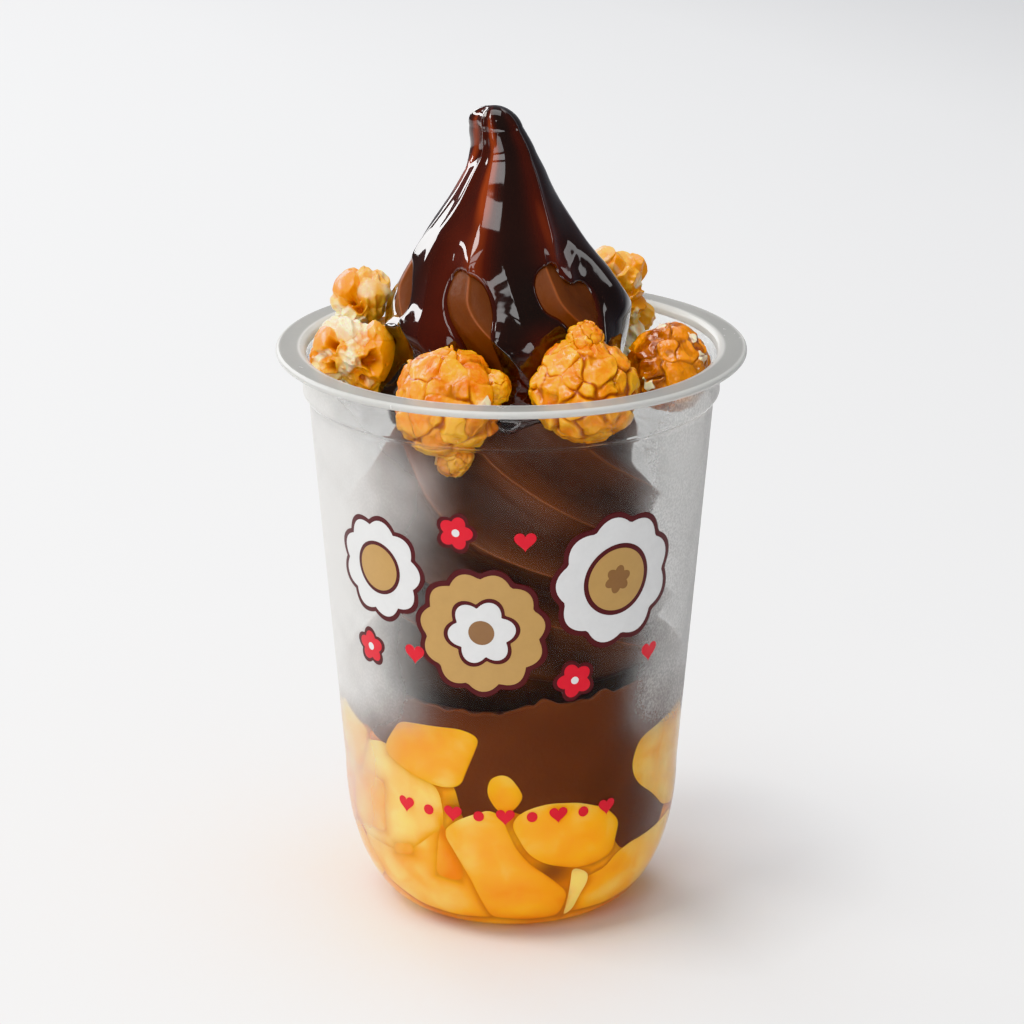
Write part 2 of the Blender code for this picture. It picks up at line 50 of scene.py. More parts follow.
RIBS = 7
CUP_HEIGHT = 118.0
RIM_RADIUS = 47.5
RIM_WIDTH = 5.2
LIP_HEIGHT = 1.5
WALL = 0.7
NECK_RADIUS = 42.1
NECK_FOOT = 108.8
TAPER_TOP = 107.9
TAPER_TOP_RADIUS = 40.97
TAPER_FOOT_RADIUS = 34.35
TURN_HEIGHT = 29.4
FOOT_RADIUS = 19.8
RECESS_RADIUS = 14.2
RECESS_DEPTH = 0.8
INNER_FOOT_RADIUS = FOOT_RADIUS - 0.2
MANGO_FLOOR = 1.8
MANGO_MIDDLE_HEIGHT = 41.0
MANGO_TOP = [(-180, 46), (-130, 46.5), (-106, 47), (-96, 38), (-84, 32.5), (-60, 30),
             (-47, 27), (-38, 31), (-26, 44), (0, 45), (60, 42), (120, 45)]
COIL_LIP = [(-147, 66), (-100, 61), (-80, 56.5), (-49, 53.5), (0, 56), (60, 62),
            (120, 67)]
BASE_FLOOR = 48.5
BASE_FILM = 1.6
SHADOW_RADIUS = 26.5            # how far in the hollow under the coil's lip goes
LIP_ROUNDING = 7.0
COIL_TOP = 103.0
SWIRL_RADIUS = [(50, 34), (65, 34.2), (75, 33.4), (83, 32.6), (90, 29.4), (97.5, 25.5),
                (104, 24.2), (111.5, 22.0), (118, 23.0), (125, 23.5), (130, 21.9),
                (137, 17.7), (142, 14.2), (150, 8.6), (156, 5.2)]
SWIRL_CENTRE_X = [(60, -1.2), (84, -1.5), (97, 0.6), (110, 0), (129, -0.8), (140, -1.9),
                  (150, -1.5), (158, -1.1), (162, -2.0), (167, -3.4)]
ICE_PEAK = 157.5
CREST_AZIMUTH = -60.0
RIB_TWIST = [(54, 240), (60, 230), (63, 219), (71, 184), (78, 147), (89, 102),
             (101, 61), (122, 22), (133, 0)]
RIB_DEPTH = [(56, 0.5), (62, 2.6), (90, 3.2), (110, 2.2), (135, 2.4), (150, 1.2), (157, 0.4)]
SAUCE_COAT = 1.1
SAUCE_PEAK = 167.0
SAUCE_RADIUS = [(104, 20), (116, 24.2), (125, 24.9), (130, 23.3), (133.3, 21.7),
                (137.4, 19.0), (141.5, 15.9), (145.6, 12.8), (149.8, 10.1), (153.9, 8.0),
                (158, 5.8), (162, 4.6), (164, 3.9), (166.1, 2.6)]
SAUCE_RIB_SHARE = 0.4           # depth of the sauce's ribs as a share of the ice cream's
TAIL_AZIMUTH = 160.0
TAIL_HALF_ANGLE = 22.0
TAIL_HEIGHT = [(154, 0), (158, 1.6), (162, 2.1), (165, 1.5), (167, 0)]
MUSHROOM = "mushroom"
BUTTERFLY = "butterfly"
POPCORNS = [
    (MUSHROOM, [(-12.4, -27.2, 114.0, 10.9), (-11.2, -27.0, 102.6, 3.6),
                (-3.6, -27.6, 117.0, 3.4)]),
    (MUSHROOM, [(14.2, -26.4, 116.0, 10.7), (14.4, -25.6, 126.2, 3.4)]),
    (MUSHROOM, [(31.3, -6.5, 114.8, 9.0)]),
    (BUTTERFLY, [(-31.4, -5.0, 116.8, 8.9)]),
    (BUTTERFLY, [(-30.2, 12.5, 123.6, 6.8), (-28.6, 14.5, 114.5, 7.6)]),
    (BUTTERFLY, [(21.3, 21.5, 126.0, 6.8), (21.8, 22.0, 115.5, 8.2)]),
    (MUSHROOM, [(-2.5, 30.0, 115.5, 10.4)]),
]
CAMERA_DOWN = 18.543            # how far down the photograph looks
DENT_SPACE = 0.5                # kept between the ice cream and a popcorn's ball
SAUCE_SINK = 3.2                # how deep a popcorn's ball sits in the sauce

# ---------------------------------------------------------------- curves and fields


def fine(count):
    """A number of rows or columns at the mesh density in use."""
    return int(count * FINE)


def smooth_curve(knots, places):
    """Monotone cubic curve through the (place, value) knots, read at the places."""
    at, value = np.array(knots, dtype=float).T
    step = np.diff(at)
    slope = np.diff(value) / step
    before, after = slope[:-1], slope[1:]
    same_way = before * after > 0
    both = np.where(same_way, before + after, 1.0)
    middle = np.where(same_way, 2 * before * after / both, 0)
    tangent = np.concatenate([slope[:1], middle, slope[-1:]])
    x = np.clip(places, at[0], at[-1])
    i = np.clip(np.searchsorted(at, x) - 1, 0, len(step) - 1)
    t = (x - at[i]) / step[i]
    rise = value[i] * (1 + 2 * t) * (1 - t) ** 2 + value[i + 1] * t * t * (3 - 2 * t)
    return rise + step[i] * (tangent[i] * t * (1 - t) ** 2 - tangent[i + 1] * t * t * (1 - t))


def around(knots, azimuth):
    """The same curve closed into a ring: the knots repeat every 360 degrees."""
    ring = [(place + turn, value) for turn in (-360, 0, 360) for place, value in knots]
    ring = sorted(dict(ring).items())
    return smooth_curve(ring, (np.asarray(azimuth) + 180.0) % 360.0 - 180.0)


def smooth_step(low, high, x):
    """0 at low and before it, 1 at high and past it, and 3t^2 - 2t^3 between them."""
    t = np.clip((x - low) / (high - low), 0.0, 1.0)
    return t * t * (3 - 2 * t)


def angle_between(a, b):
    """Signed difference of two azimuths, from -180 to 180."""
    return (a - b + 180.0) % 360.0 - 180.0


def swell(azimuth, at, wide):
    """1 at an azimuth, falling off on both sides as exp(-(degrees off / wide)^2)."""
    return np.exp(-(angle_between(azimuth, at) / wide) ** 2)


def spot(azimuth, height, at, level, wide, tall):
    """A swell in azimuth that falls off in height too."""
    return swell(azimuth, at, wide) * np.exp(-((height - level) / tall) ** 2)


def soft_max(values, sharpness):
    """Greatest of several arrays, blended: log of the sum of exp(sharpness * value)."""
    top = np.max(values, axis=0)
    return top + np.log(np.sum(np.exp(sharpness * (values - top)), axis=0)) / sharpness


def waves(points, size, seed, count=14):
    """Smooth irregular field of about -1 to 1: a sum of plane sine waves.

    Each wave has its own seeded direction and phase, and a length near the size.
    """
    random = np.random.default_rng(seed)
    ways = random.normal(size=(count, 3))
    ways /= np.linalg.norm(ways, axis=1, keepdims=True)
    ways *= 2 * math.pi / size * random.uniform(0.6, 1.6, (count, 1))
    phase = random.uniform(0, 2 * math.pi, count)
    return np.sin(points @ ways.T + phase).sum(axis=-1) / math.sqrt(count)


def ring_waves(radius, azimuth, size, seed):
    """Smooth irregular field round a ring of that radius."""
    return waves(ring_points(radius, azimuth, 0 * azimuth), size, seed)


def outline_distance(x, y, corners):
    """Signed distance to a closed outline, below zero inside: the least distance to
    its sides, with the sign from how often a ray crosses them."""
    corners = np.array(corners, dtype=float)
    inside = np.zeros(np.shape(x), dtype=bool)
    least = np.full(np.shape(x), np.inf)
    for (ax, ay), (bx, by) in zip(corners, np.roll(corners, -1, axis=0)):
        wide, tall = bx - ax, by - ay
        share = np.clip(((x - ax) * wide + (y - ay) * tall) / (wide ** 2 + tall ** 2), 0.0, 1.0)
        least = np.minimum(least, np.hypot(x - ax - share * wide, y - ay - share * tall))
        if tall != 0:
            inside ^= ((ay > y) != (by > y)) & (x < ax + (y - ay) * wide / tall)
    return np.where(inside, -least, least)


def rounded_corner(before, corner, after, radius, most, steps):
    """Quadratic curve round a corner, which takes the radius, or the most of a side."""
    back, on = before - corner, after - corner
    back_length, on_length = np.linalg.norm(back), np.linalg.norm(on)
    start = corner + back * min(radius, most * back_length) / back_length
    end = corner + on * min(radius, most * on_length) / on_length
    t = np.linspace(0, 1, steps)[:, None]
    return (1 - t) ** 2 * start + 2 * t * (1 - t) * corner + t * t * end


def rounded_outline(corners, radius, count):
    """A closed outline with its corners rounded, as a count of points in even steps."""
    corners = np.array(corners, dtype=float)
    neighbours = zip(np.roll(corners, 1, axis=0), corners, np.roll(corners, -1, axis=0))
    path = np.vstack([rounded_corner(*three, radius, 0.45, 6) for three in neighbours])
    path = np.vstack([path, path[:1]])
    along = np.concatenate([[0], np.cumsum(np.linalg.norm(np.diff(path, axis=0), axis=1))])
    at = np.linspace(0, along[-1], count, endpoint=False)
    return np.column_stack([np.interp(at, along, path[:, 0]), np.interp(at, along, path[:, 1])])


def rounded_profile(profile, radius):
    """An open profile with its corners rounded."""
    profile = np.array(profile, dtype=float)
    neighbours = zip(profile[:-2], profile[1:-1], profile[2:])
    return np.vstack([profile[:1], *(rounded_corner(*three, radius, 0.4, 4) for three in neighbours),
                      profile[-1:]])


# ---------------------------------------------------------------- meshes


def ring_points(radius, azimuth, height, centre_x=0.0):
    """Points at the given radii, azimuths and heights, as one array."""
    angle = np.radians(azimuth)
    radius, angle, height, centre_x = np.broadcast_arrays(radius, angle, height, centre_x)
    return np.stack([centre_x + radius * np.cos(angle), radius * np.sin(angle), height], axis=-1)


def full_turn(count):
    """Azimuths of the columns of a mesh, from -180 up to just under 180."""
    return np.linspace(-180, 180, fine(count), endpoint=False)


def new_piece(name, points, corners, sizes, fields):
    """Smooth mesh object from its points, the corners and sizes of its faces, and values
    at its points, which are kept as attributes."""
    mesh = bpy.data.meshes.new(name)
    mesh.vertices.add(len(points))
    mesh.vertices.foreach_set("co", (points * MM).astype(np.float32).ravel())
    mesh.loops.add(len(corners))
    mesh.loops.foreach_set("vertex_index", corners.astype(np.int32))
    mesh.polygons.add(len(sizes))
    mesh.polygons.foreach_set("loop_start", (np.cumsum(sizes) - sizes).astype(np.int32))
    mesh.update(calc_edges=True)
    mesh.validate()
    for field, values in fields.items():
        kept = mesh.attributes.new(field, "FLOAT", "POINT")
        kept.data.foreach_set("value", values.astype(np.float32))
    mesh.shade_smooth()
    piece = bpy.data.objects.new(name, mesh)
    bpy.context.scene.collection.objects.link(piece)
    return piece


def surface(name, points, poles=(), fields=None):
    """Closed mesh through rows of points, each row a ring, with a pole at either end.
    Without poles, the last row joins the first.

    points is rows x columns x 3, with the columns anticlockwise seen from the last
    pole. fields are values at the same points.
    """
    rows, columns, _ = points.shape
    below = np.arange(rows - 1 if len(poles) else rows)
    row, column = np.meshgrid(below, np.arange(columns), indexing="ij")
    after, above = (column + 1) % columns, (row + 1) % rows
    quads = np.stack([row * columns + column, row * columns + after,
                      above * columns + after, above * columns + column], axis=-1).ravel()
    flat = points.reshape(-1, 3)
    kept = {field: values.ravel() for field, values in (fields or {}).items()}
    if not len(poles):
        return new_piece(name, flat, quads, np.full(rows * columns, 4), kept)
    start = np.arange(columns)
    onward = (start + 1) % columns
    last = (rows - 1) * columns
    foot = np.column_stack([onward, start, np.full(columns, rows * columns)])
    head = np.column_stack([last + start, last + onward, np.full(columns, rows * columns + 1)])
    for field, values in kept.items():
        kept[field] = np.append(values, [values[:columns].mean(), values[last:].mean()])
    return new_piece(name, np.vstack([flat, poles]),
                     np.concatenate([quads, foot.ravel(), head.ravel()]),
                     np.repeat([4, 3], [len(quads) // 4, 2 * columns]), kept)


def finish_piece(piece, material, slot, *nodes):
    """Gives a piece its material, hides the CAD parts that it stands for, and lets it ride. The slot is
    not used.
    """
    if material:
        piece.data.materials.append(material)
    if nodes:
        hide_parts(*nodes)
    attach(piece, "root")
    return piece


# ---------------------------------------------------------------- shader tools


def put(tree, kind, sockets=None, **settings):
    """Adds a shader node. sockets gives each input the output that feeds it or a value,
    where a colour is red, green and blue."""
    node = tree.nodes.new("ShaderNode" + kind)
    for name, value in settings.items():
        setattr(node, name, value)
    for name, value in (sockets or {}).items():
        socket = node.inputs[name]
        if isinstance(value, bpy.types.NodeSocket):
            tree.links.new(value, socket)
        else:
            socket.default_value = (*value, 1.0) if socket.type == "RGBA" else value
    return node


def mix_colour(tree, factor, first, second):
    """Mix of two colours, which are values or outputs."""
    return put(tree, "Mix", {0: factor, 6: first, 7: second}, data_type="RGBA").outputs[2]


def maths(tree, operation, first, second=0.0, clamp=False):
    """Result of a Math node on two values or outputs."""
    return put(tree, "Math", {0: first, 1: second}, operation=operation, use_clamp=clamp).outputs[0]


def attribute(tree, name):
    """The values that a mesh keeps at its points under a name."""
    return put(tree, "Attribute", attribute_name=name).outputs["Fac"]


def stretch(tree, value, low, high, to_low=0.0, to_high=1.0):
    """The value taken from low..high to to_low..to_high, and kept there."""
    return put(tree, "MapRange", {0: value, 1: low, 2: high, 3: to_low, 4: to_high}).outputs[0]


def two_ramps(tree, tone, low, middle, high):
    """Colour that goes from low at 0 through the middle one at 0.5 to high at 1."""
    tint = mix_colour(tree, stretch(tree, tone, 0.0, 0.5), low, middle)
    return mix_colour(tree, stretch(tree, tone, 0.5, 1.0), tint, high)


def new_group(name, inputs, output, kind):
    """An empty node group of value inputs and one output, and the nodes that carry them."""
    tree = bpy.data.node_groups.new(name, "ShaderNodeTree")
    for socket in inputs:
        tree.interface.new_socket(socket, in_out="INPUT", socket_type="NodeSocketFloat")
    tree.interface.new_socket(output, in_out="OUTPUT", socket_type=kind)
    return tree, tree.nodes.new("NodeGroupInput").outputs, tree.nodes.new("NodeGroupOutput").inputs


def make_mottle():
    """Two sizes of noise on the object's own coordinates, as one mask from 0 to 1."""
    tree, given, out = new_group("mottle", ("Scale", "Contrast"), "Mask", "NodeSocketFloat")
    place = put(tree, "TexCoord").outputs["Object"]
    broad = put(tree, "TexNoise", {"Vector": place, "Scale": given["Scale"], "Detail": 4.0})
    finer = maths(tree, "MULTIPLY", given["Scale"], 3.7)
    small = put(tree, "TexNoise", {"Vector": place, "Scale": finer, "Detail": 2.0})
    both = maths(tree, "ADD", maths(tree, "MULTIPLY", broad.outputs[0], 0.7),
                 maths(tree, "MULTIPLY", small.outputs[0], 0.3))
    centred = maths(tree, "MULTIPLY", maths(tree, "SUBTRACT", both, 0.5), given["Contrast"])
    tree.links.new(maths(tree, "ADD", centred, 0.5, clamp=True), out["Mask"])
    return tree


def make_grain():
    """A fine bump from noise on the object's own coordinates."""
    tree, given, out = new_group("grain", ("Scale", "Depth"), "Normal", "NodeSocketVector")
    place = put(tree, "TexCoord").outputs["Object"]
    noise = put(tree, "TexNoise", {"Vector": place, "Scale": given["Scale"], "Detail": 3.0})
    bump = put(tree, "Bump", {"Height": noise.outputs[0], "Distance": given["Depth"],
                              "Strength": 1.0})
    tree.links.new(bump.outputs[0], out["Normal"])
    return tree


MOTTLE = make_mottle()
GRAIN = make_grain()


def mottle(tree, scale, contrast):
    """Mask of blotches: the scale is in noise cells per metre."""
    return put(tree, "Group", {0: scale, 1: contrast}, node_tree=MOTTLE).outputs[0]


def grain(tree, scale, depth):
    """Normal of a fine unevenness, so many metres deep."""
    return put(tree, "Group", {0: scale, 1: depth}, node_tree=GRAIN).outputs[0]


def new_material(name):
    """A material without nodes, and its node tree."""
    made = bpy.data.materials.new(name)
    made.use_nodes = True
    made.node_tree.nodes.clear()
    return made, made.node_tree


def principled(made, tree, sockets):
    """Closes a material with a Principled shader whose inputs are these."""
    body = put(tree, "BsdfPrincipled", sockets)
    put(tree, "OutputMaterial", {"Surface": body.outputs[0]})
    return made


# ---------------------------------------------------------------- materials

CLEAR = (0.90, 0.905, 0.90)
RIM_TINT = (0.37, 0.37, 0.355)
# Lighter tint on the rim's two edges: painted highlight lines.
RIM_EDGE_HIGHLIGHT = (0.60, 0.60, 0.58)
# Ink of the print: colour, and how much it covers.
INKS = {"maroon": ((0.085, 0.008, 0.010), 0.95), "white": ((0.80, 0.80, 0.79), 0.88),
        "tan": ((0.56, 0.34, 0.12), 0.88), "brown": ((0.30, 0.15, 0.06), 0.85),
        "red": ((0.72, 0.018, 0.035), 0.93)}
# Ice cream: colour in the furrows, darker as painted shade, and on the crests, lighter as
# painted highlight, and how wet it looks.
SWIRL_ICE = ((0.048, 0.018, 0.011), (0.19, 0.059, 0.022), 0.25)
PRESSED_ICE = ((0.12, 0.037, 0.017), (0.20, 0.061, 0.026), 0.1)
# Sauce from thick to thin, and mango from pale to deep.
SAUCE_TONES = ((0.016, 0.011, 0.009), (0.062, 0.011, 0.006), (0.24, 0.042, 0.014))
MANGO_TONES = ((0.97, 0.72, 0.20), (0.92, 0.43, 0.022), (0.80, 0.235, 0.006))
# Brown of melted chocolate in the juice, and of painted shade by the dice.
MANGO_BROWN = (0.20, 0.055, 0.014)
# Popcorn: colour where light, caramel, and the deep colour of the grooves, partly burnt
# caramel and partly painted shade, and how glossy its glaze is.
CARAMEL = ((0.98, 0.49, 0.040), (0.84, 0.20, 0.003), (0.38, 0.070, 0.002), 0.5)
TOFFEE = ((0.88, 0.30, 0.010), (0.32, 0.068, 0.004), (0.18, 0.034, 0.003), 0.7)
BUTTER = ((0.97, 0.68, 0.20), (0.88, 0.33, 0.015), (0.48, 0.11, 0.004), 0.4)
FLAKE_WHITE = (1.0, 0.88, 0.62)


def make_cup_plastic(name, tint, edge_highlight, clearness, rough, gleam):
    """Thin plastic, clear or a little milky. Lamps shine straight through it."""
    made, tree = new_material(name)
    # Where the edge field says, the edge tint paints highlight lines on the rim.
    plastic = put(tree, "BsdfPrincipled", {
        "Base Color": mix_colour(tree, attribute(tree, "edge"), tint, edge_highlight),
        "Roughness": stretch(tree, mottle(tree, 260.0, 1.6), 0.3, 0.8, rough, rough + 0.08),
        "IOR": 1.34, "Specular Tint": (gleam, gleam, gleam), "Transmission Weight": clearness,
        "Normal": grain(tree, 90.0, 0.00004)})
    clear = put(tree, "BsdfTransparent", {"Color": (0.93, 0.94, 0.94)})
    shadow = put(tree, "LightPath").outputs["Is Shadow Ray"]
    mixed = put(tree, "MixShader", {0: shadow, 1: plastic.outputs[0], 2: clear.outputs[0]})
    put(tree, "OutputMaterial", {"Surface": mixed.outputs[0]})
    return made


def make_frost():
    """Fine dew: milky where the frost_and_reflection attribute says, which on the left also paints
    a reflection of the light, speckled by the other, and denser where the wall is seen at a slant."""
    made, tree = new_material("condensation_and_reflection")
    specks = stretch(tree, mottle(tree, 1900.0, 3.4), 0.35, 0.8)
    speckled = maths(tree, "MULTIPLY", attribute(tree, "speckle"), specks)
    speckled = maths(tree, "MULTIPLY", speckled, 0.55)
    both = maths(tree, "ADD", attribute(tree, "frost_and_reflection"), speckled, clamp=True)
    slant = put(tree, "LayerWeight", {"Blend": 0.5}).outputs["Facing"]
    clear = maths(tree, "POWER", maths(tree, "SUBTRACT", 1.0, both),
                  stretch(tree, slant, 0.3, 1.0, 1.0, 3.5))
    facing = maths(tree, "SUBTRACT", 1.0, put(tree, "NewGeometry").outputs["Backfacing"])
    alpha = maths(tree, "MULTIPLY", maths(tree, "SUBTRACT", 1.0, clear), facing)
    return principled(made, tree, {
        "Base Color": (0.68, 0.67, 0.65), "Roughness": 0.6, "Specular IOR Level": 0.2,
        "Alpha": maths(tree, "MULTIPLY", alpha, 0.94)})


def make_ink(name, shade, cover):
    """Printed ink, a little uneven, that what is behind it shows through faintly."""
    made, tree = new_material("ink_" + name)
    uneven = mottle(tree, 340.0, 1.2)
    return principled(made, tree, {
        "Base Color": mix_colour(tree, uneven, [0.93 * part for part in shade], shade),
        "Roughness": 0.32,
        "Alpha": stretch(tree, uneven, 0.0, 1.0, cover - 0.03, cover + 0.03)})


def make_ice_cream(name, dark, light, wet):
    """Soft chocolate ice cream, with painted shade in its furrows and painted highlight on the crests.
    """
    made, tree = new_material(name)
    crest = attribute(tree, "crest")
    tone = maths(tree, "ADD", maths(tree, "MULTIPLY", crest, 0.75),
                 maths(tree, "MULTIPLY", mottle(tree, 150.0, 1.5), 0.25))
    tint = mix_colour(tree, tone, dark, light)
    # Paler tint on the crest lines: painted highlight.
    pale = [min(1.6 * part + 0.02, 1) for part in light]
    return principled(made, tree, {
        "Base Color": mix_colour(tree, stretch(tree, crest, 0.84, 0.98, 0.0, 0.6), tint, pale),
        "Roughness": stretch(tree, mottle(tree, 600.0, 1.5), 0, 1, 0.36, 0.52),
        "Specular IOR Level": wet,
        "Subsurface Weight": 0.25, "Subsurface Radius": (0.0022, 0.0011, 0.0007),
        "Subsurface Scale": 1.0, "Normal": grain(tree, 900.0, 0.00008)})


def make_sauce():
    """Wet dark sauce: near black where it is thick, and red brown where it is thin."""
    made, tree = new_material("chocolate_sauce_gloss")
    return principled(made, tree, {
        "Base Color": two_ramps(tree, attribute(tree, "thin"), *SAUCE_TONES),
        "Roughness": stretch(tree, mottle(tree, 200.0, 1.5), 0, 1, 0.04, 0.09),
        "IOR": 1.47, "Coat Weight": 0.5, "Coat Roughness": 0.03,
        "Normal": grain(tree, 130.0, 0.00006)})


def make_mango():
    """Moist fruit: from pale to deep orange by its tone, which holds painted light and shade as
    well as the fruit's own colour, brown for melted chocolate and for painted shade, with faint fibres.

    A weak emission stands for the light that it passes on: more at the foot and the left.
    """
    made, tree = new_material("mango_flesh")
    place = put(tree, "TexCoord").outputs["Object"]
    fibres = put(tree, "TexNoise", {"Vector": place, "Scale": 150.0, "Detail": 5.0,
                                    "Distortion": 1.2})
    tone = maths(tree, "ADD", attribute(tree, "tone"),
                 stretch(tree, fibres.outputs[0], 0.3, 0.7, -0.10, 0.10), clamp=True)
    tint = mix_colour(tree, attribute(tree, "brown"), two_ramps(tree, tone, *MANGO_TONES),
                      MANGO_BROWN)
    axes = put(tree, "SeparateXYZ", {"Vector": place}).outputs
    glow = maths(tree, "ADD", stretch(tree, axes["Z"], 0.002, 0.042, 0.27, 0.10),
                 stretch(tree, axes["X"], -0.036, -0.012, 0.12, 0.0))
    return principled(made, tree, {
        "Base Color": tint, "Roughness": 0.35, "Specular IOR Level": 0.12,
        "Emission Color": mix_colour(tree, glow, (0, 0, 0), tint), "Emission Strength": 1.0,
        "Subsurface Weight": 0.5, "Subsurface Radius": (0.006, 0.003, 0.0008),
        "Subsurface Scale": 1.0, "Normal": grain(tree, 420.0, 0.00006)})


def make_popcorn(name, light, caramel, burnt_and_shade, gloss):
    """Popcorn: caramel over white flakes, deeper in the grooves as burnt caramel and painted
    shade, glossy where it is glazed.
    """
    made, tree = new_material(name)
    patches = mottle(tree, 380.0, 2.8)
    tone = maths(tree, "ADD", maths(tree, "MULTIPLY", patches, 0.45),
                 maths(tree, "MULTIPLY", attribute(tree, "tone"), 0.75))
    tint = mix_colour(tree, stretch(tree, tone, 0.25, 0.9), light, caramel)
    white = stretch(tree, attribute(tree, "pale"), 0.3, 0.75)
    # Grooves, creases and pits take the deep colour: burnt caramel and painted shade.
    groove = stretch(tree, attribute(tree, "groove"), 0.15, 1.0)
    return principled(made, tree, {
        "Base Color": mix_colour(tree, groove, mix_colour(tree, white, tint, FLAKE_WHITE), burnt_and_shade),
        "Roughness": stretch(tree, patches, 0, 1, 0.40, 0.24),
        "Specular IOR Level": 0.3, "Coat Weight": gloss, "Coat Roughness": 0.08,
        "Subsurface Weight": 0.3, "Subsurface Radius": (0.0034, 0.0010, 0.0002),
        "Subsurface Scale": 1.0, "Normal": grain(tree, 700.0, 0.00016)})


# ---------------------------------------------------------------- cup

RIM_BOTTOM = CUP_HEIGHT - LIP_HEIGHT
INNER_NECK = NECK_RADIUS - WALL
AXIS_HOLE = 0.01               # radius at which the wall's rows end, short of their poles
CUP_ROUNDING = 0.35            # of the corners of the cup's profile
MILKY_FROM = RIM_BOTTOM - 0.6  # height above which the plastic is milky


def turn_in(height, top_radius, foot_radius, foot_height):
    """Radius of the quarter ellipse that joins the taper to the foot."""
    fall = np.clip((TURN_HEIGHT - height) / (TURN_HEIGHT - foot_height), 0.0, 1.0)
    return foot_radius + (top_radius - foot_radius) * np.sqrt(1.0 - fall ** 2)


def wall_radius(height):
    """Radius of the cup's outer wall below the ledge."""
    height = np.asarray(height, dtype=float)
    rise = (height - TURN_HEIGHT) / (TAPER_TOP - TURN_HEIGHT)
    taper = TAPER_FOOT_RADIUS + (TAPER_TOP_RADIUS - TAPER_FOOT_RADIUS) * rise
    return np.where(height > TURN_HEIGHT, taper,
                    turn_in(height, TAPER_FOOT_RADIUS, FOOT_RADIUS, 0.0))


def inner_radius(height):
    """Radius of the cup's inner wall below the ledge."""
    height = np.asarray(height, dtype=float)
    turn = turn_in(height, TAPER_FOOT_RADIUS - WALL, INNER_FOOT_RADIUS, WALL)
    return np.where(height > TURN_HEIGHT, wall_radius(height) - WALL, turn)


def outer_radius(height):
    """Radius of the cup's outside from its foot up to the rim: taper, ledge and neck."""
    ledge = np.clip((height - TAPER_TOP) / (NECK_FOOT - TAPER_TOP), 0.0, 1.0)
    return wall_radius(np.minimum(height, TAPER_TOP)) + (NECK_RADIUS - TAPER_TOP_RADIUS) * ledge


def cup_profile():
    """Radius and height round the wall: up the outside, over the rim and down the inside."""
    quarter = np.linspace(0, math.pi / 2, 28)[1:]
    outer_turn = TURN_HEIGHT * (1 - np.cos(quarter[::-1]))
    inner_turn = TURN_HEIGHT - (TURN_HEIGHT - WALL) * np.cos(quarter)
    outside = [(AXIS_HOLE, RECESS_DEPTH), (RECESS_RADIUS, RECESS_DEPTH),
               (RECESS_RADIUS + 1.0, 0.0), (FOOT_RADIUS - 0.6, 0.0)]
    outside += [(float(wall_radius(z)), float(z)) for z in np.sort(outer_turn)]
    outside += [(TAPER_TOP_RADIUS, TAPER_TOP), (NECK_RADIUS, NECK_FOOT),
                (NECK_RADIUS, RIM_BOTTOM - 0.5), (NECK_RADIUS + 0.5, RIM_BOTTOM)]
    lip = LIP_HEIGHT / 2
    rim = [(RIM_RADIUS - lip + lip * math.cos(turn), CUP_HEIGHT - lip + lip * math.sin(turn))
           for turn in np.radians(np.linspace(-90, 90, 13))]
    rim += [(RIM_RADIUS - inward, CUP_HEIGHT)
            for inward in (0.9, 1.3, RIM_WIDTH - 1.1, RIM_WIDTH - 0.6, RIM_WIDTH - 0.3)]
    inside = [(INNER_NECK + 0.25, CUP_HEIGHT - 0.5), (INNER_NECK, RIM_BOTTOM),
              (INNER_NECK, NECK_FOOT), (TAPER_TOP_RADIUS - WALL, TAPER_TOP)]
    inside += [(float(inner_radius(z)), float(z)) for z in np.sort(inner_turn)[::-1]]
    inside += [(INNER_FOOT_RADIUS - 0.4, WALL), (RECESS_RADIUS + 0.7, WALL),
               (RECESS_RADIUS - 0.3, RECESS_DEPTH + WALL), (AXIS_HOLE, RECESS_DEPTH + WALL)]
    return rounded_profile(outside + rim + inside, CUP_ROUNDING)


def add_cup(clear, milky):
    """The cup's wall, turned round its axis. The rim has the milky plastic, and the edge field
    marks the rim's two edges, where a lighter tint paints highlight lines."""
    profile = cup_profile()
    azimuth = full_turn(192)
    points = ring_points(profile[:, :1], azimuth, profile[:, 1:])
    from_middle = np.abs(profile[:, :1] - RIM_RADIUS + 0.5 * RIM_WIDTH) + 0 * azimuth
    edge = smooth_step(0.5 * RIM_WIDTH - 1.1, 0.5 * RIM_WIDTH - 0.4, from_middle)
    cup = surface("cup_wall", points, [(0, 0, RECESS_DEPTH), (0, 0, RECESS_DEPTH + WALL)],
                  {"edge": edge})
    cup.data.materials.append(clear)
    cup.data.materials.append(milky)
    lowest = np.minimum(profile[:-1, 1], profile[1:, 1])
    in_rim = np.zeros(len(cup.data.polygons), dtype=np.int32)
    in_rim[:-2 * len(azimuth)] = np.repeat(lowest > MILKY_FROM, len(azimuth))
    cup.data.polygons.foreach_set("material_index", in_rim)
    return cup


# Haze on the wall: azimuth, height, their half widths, how milky and how speckled. On the
# left side it is partly dew on the wall and partly a painted reflection of the light from the left.
HAZE = [(-162, 78, 38, 25, 0.82, 0.15), (-152, 52, 32, 7, 0.42, 0.15),
        (-158, 31, 24, 15, 0.26, 0.0), (-28, 80, 20, 22, 0.42, 0.45), (-26, 52, 24, 9, 0.22, 0.3),
        (-22, 28, 24, 14, 0.05, 0.05), (-25, 108, 26, 9, 0.36, 0.45), (-132, 97, 22, 9, 0.32, 0.0),
        (-160, 106, 30, 8, 0.50, 0.1), (90, 80, 110, 32, 0.40, 0.5)]
FILM_FOOT = 3.0
FILM_SIDES = (0.016, 0.006)    # how far the film's outside and inside stand off the wall


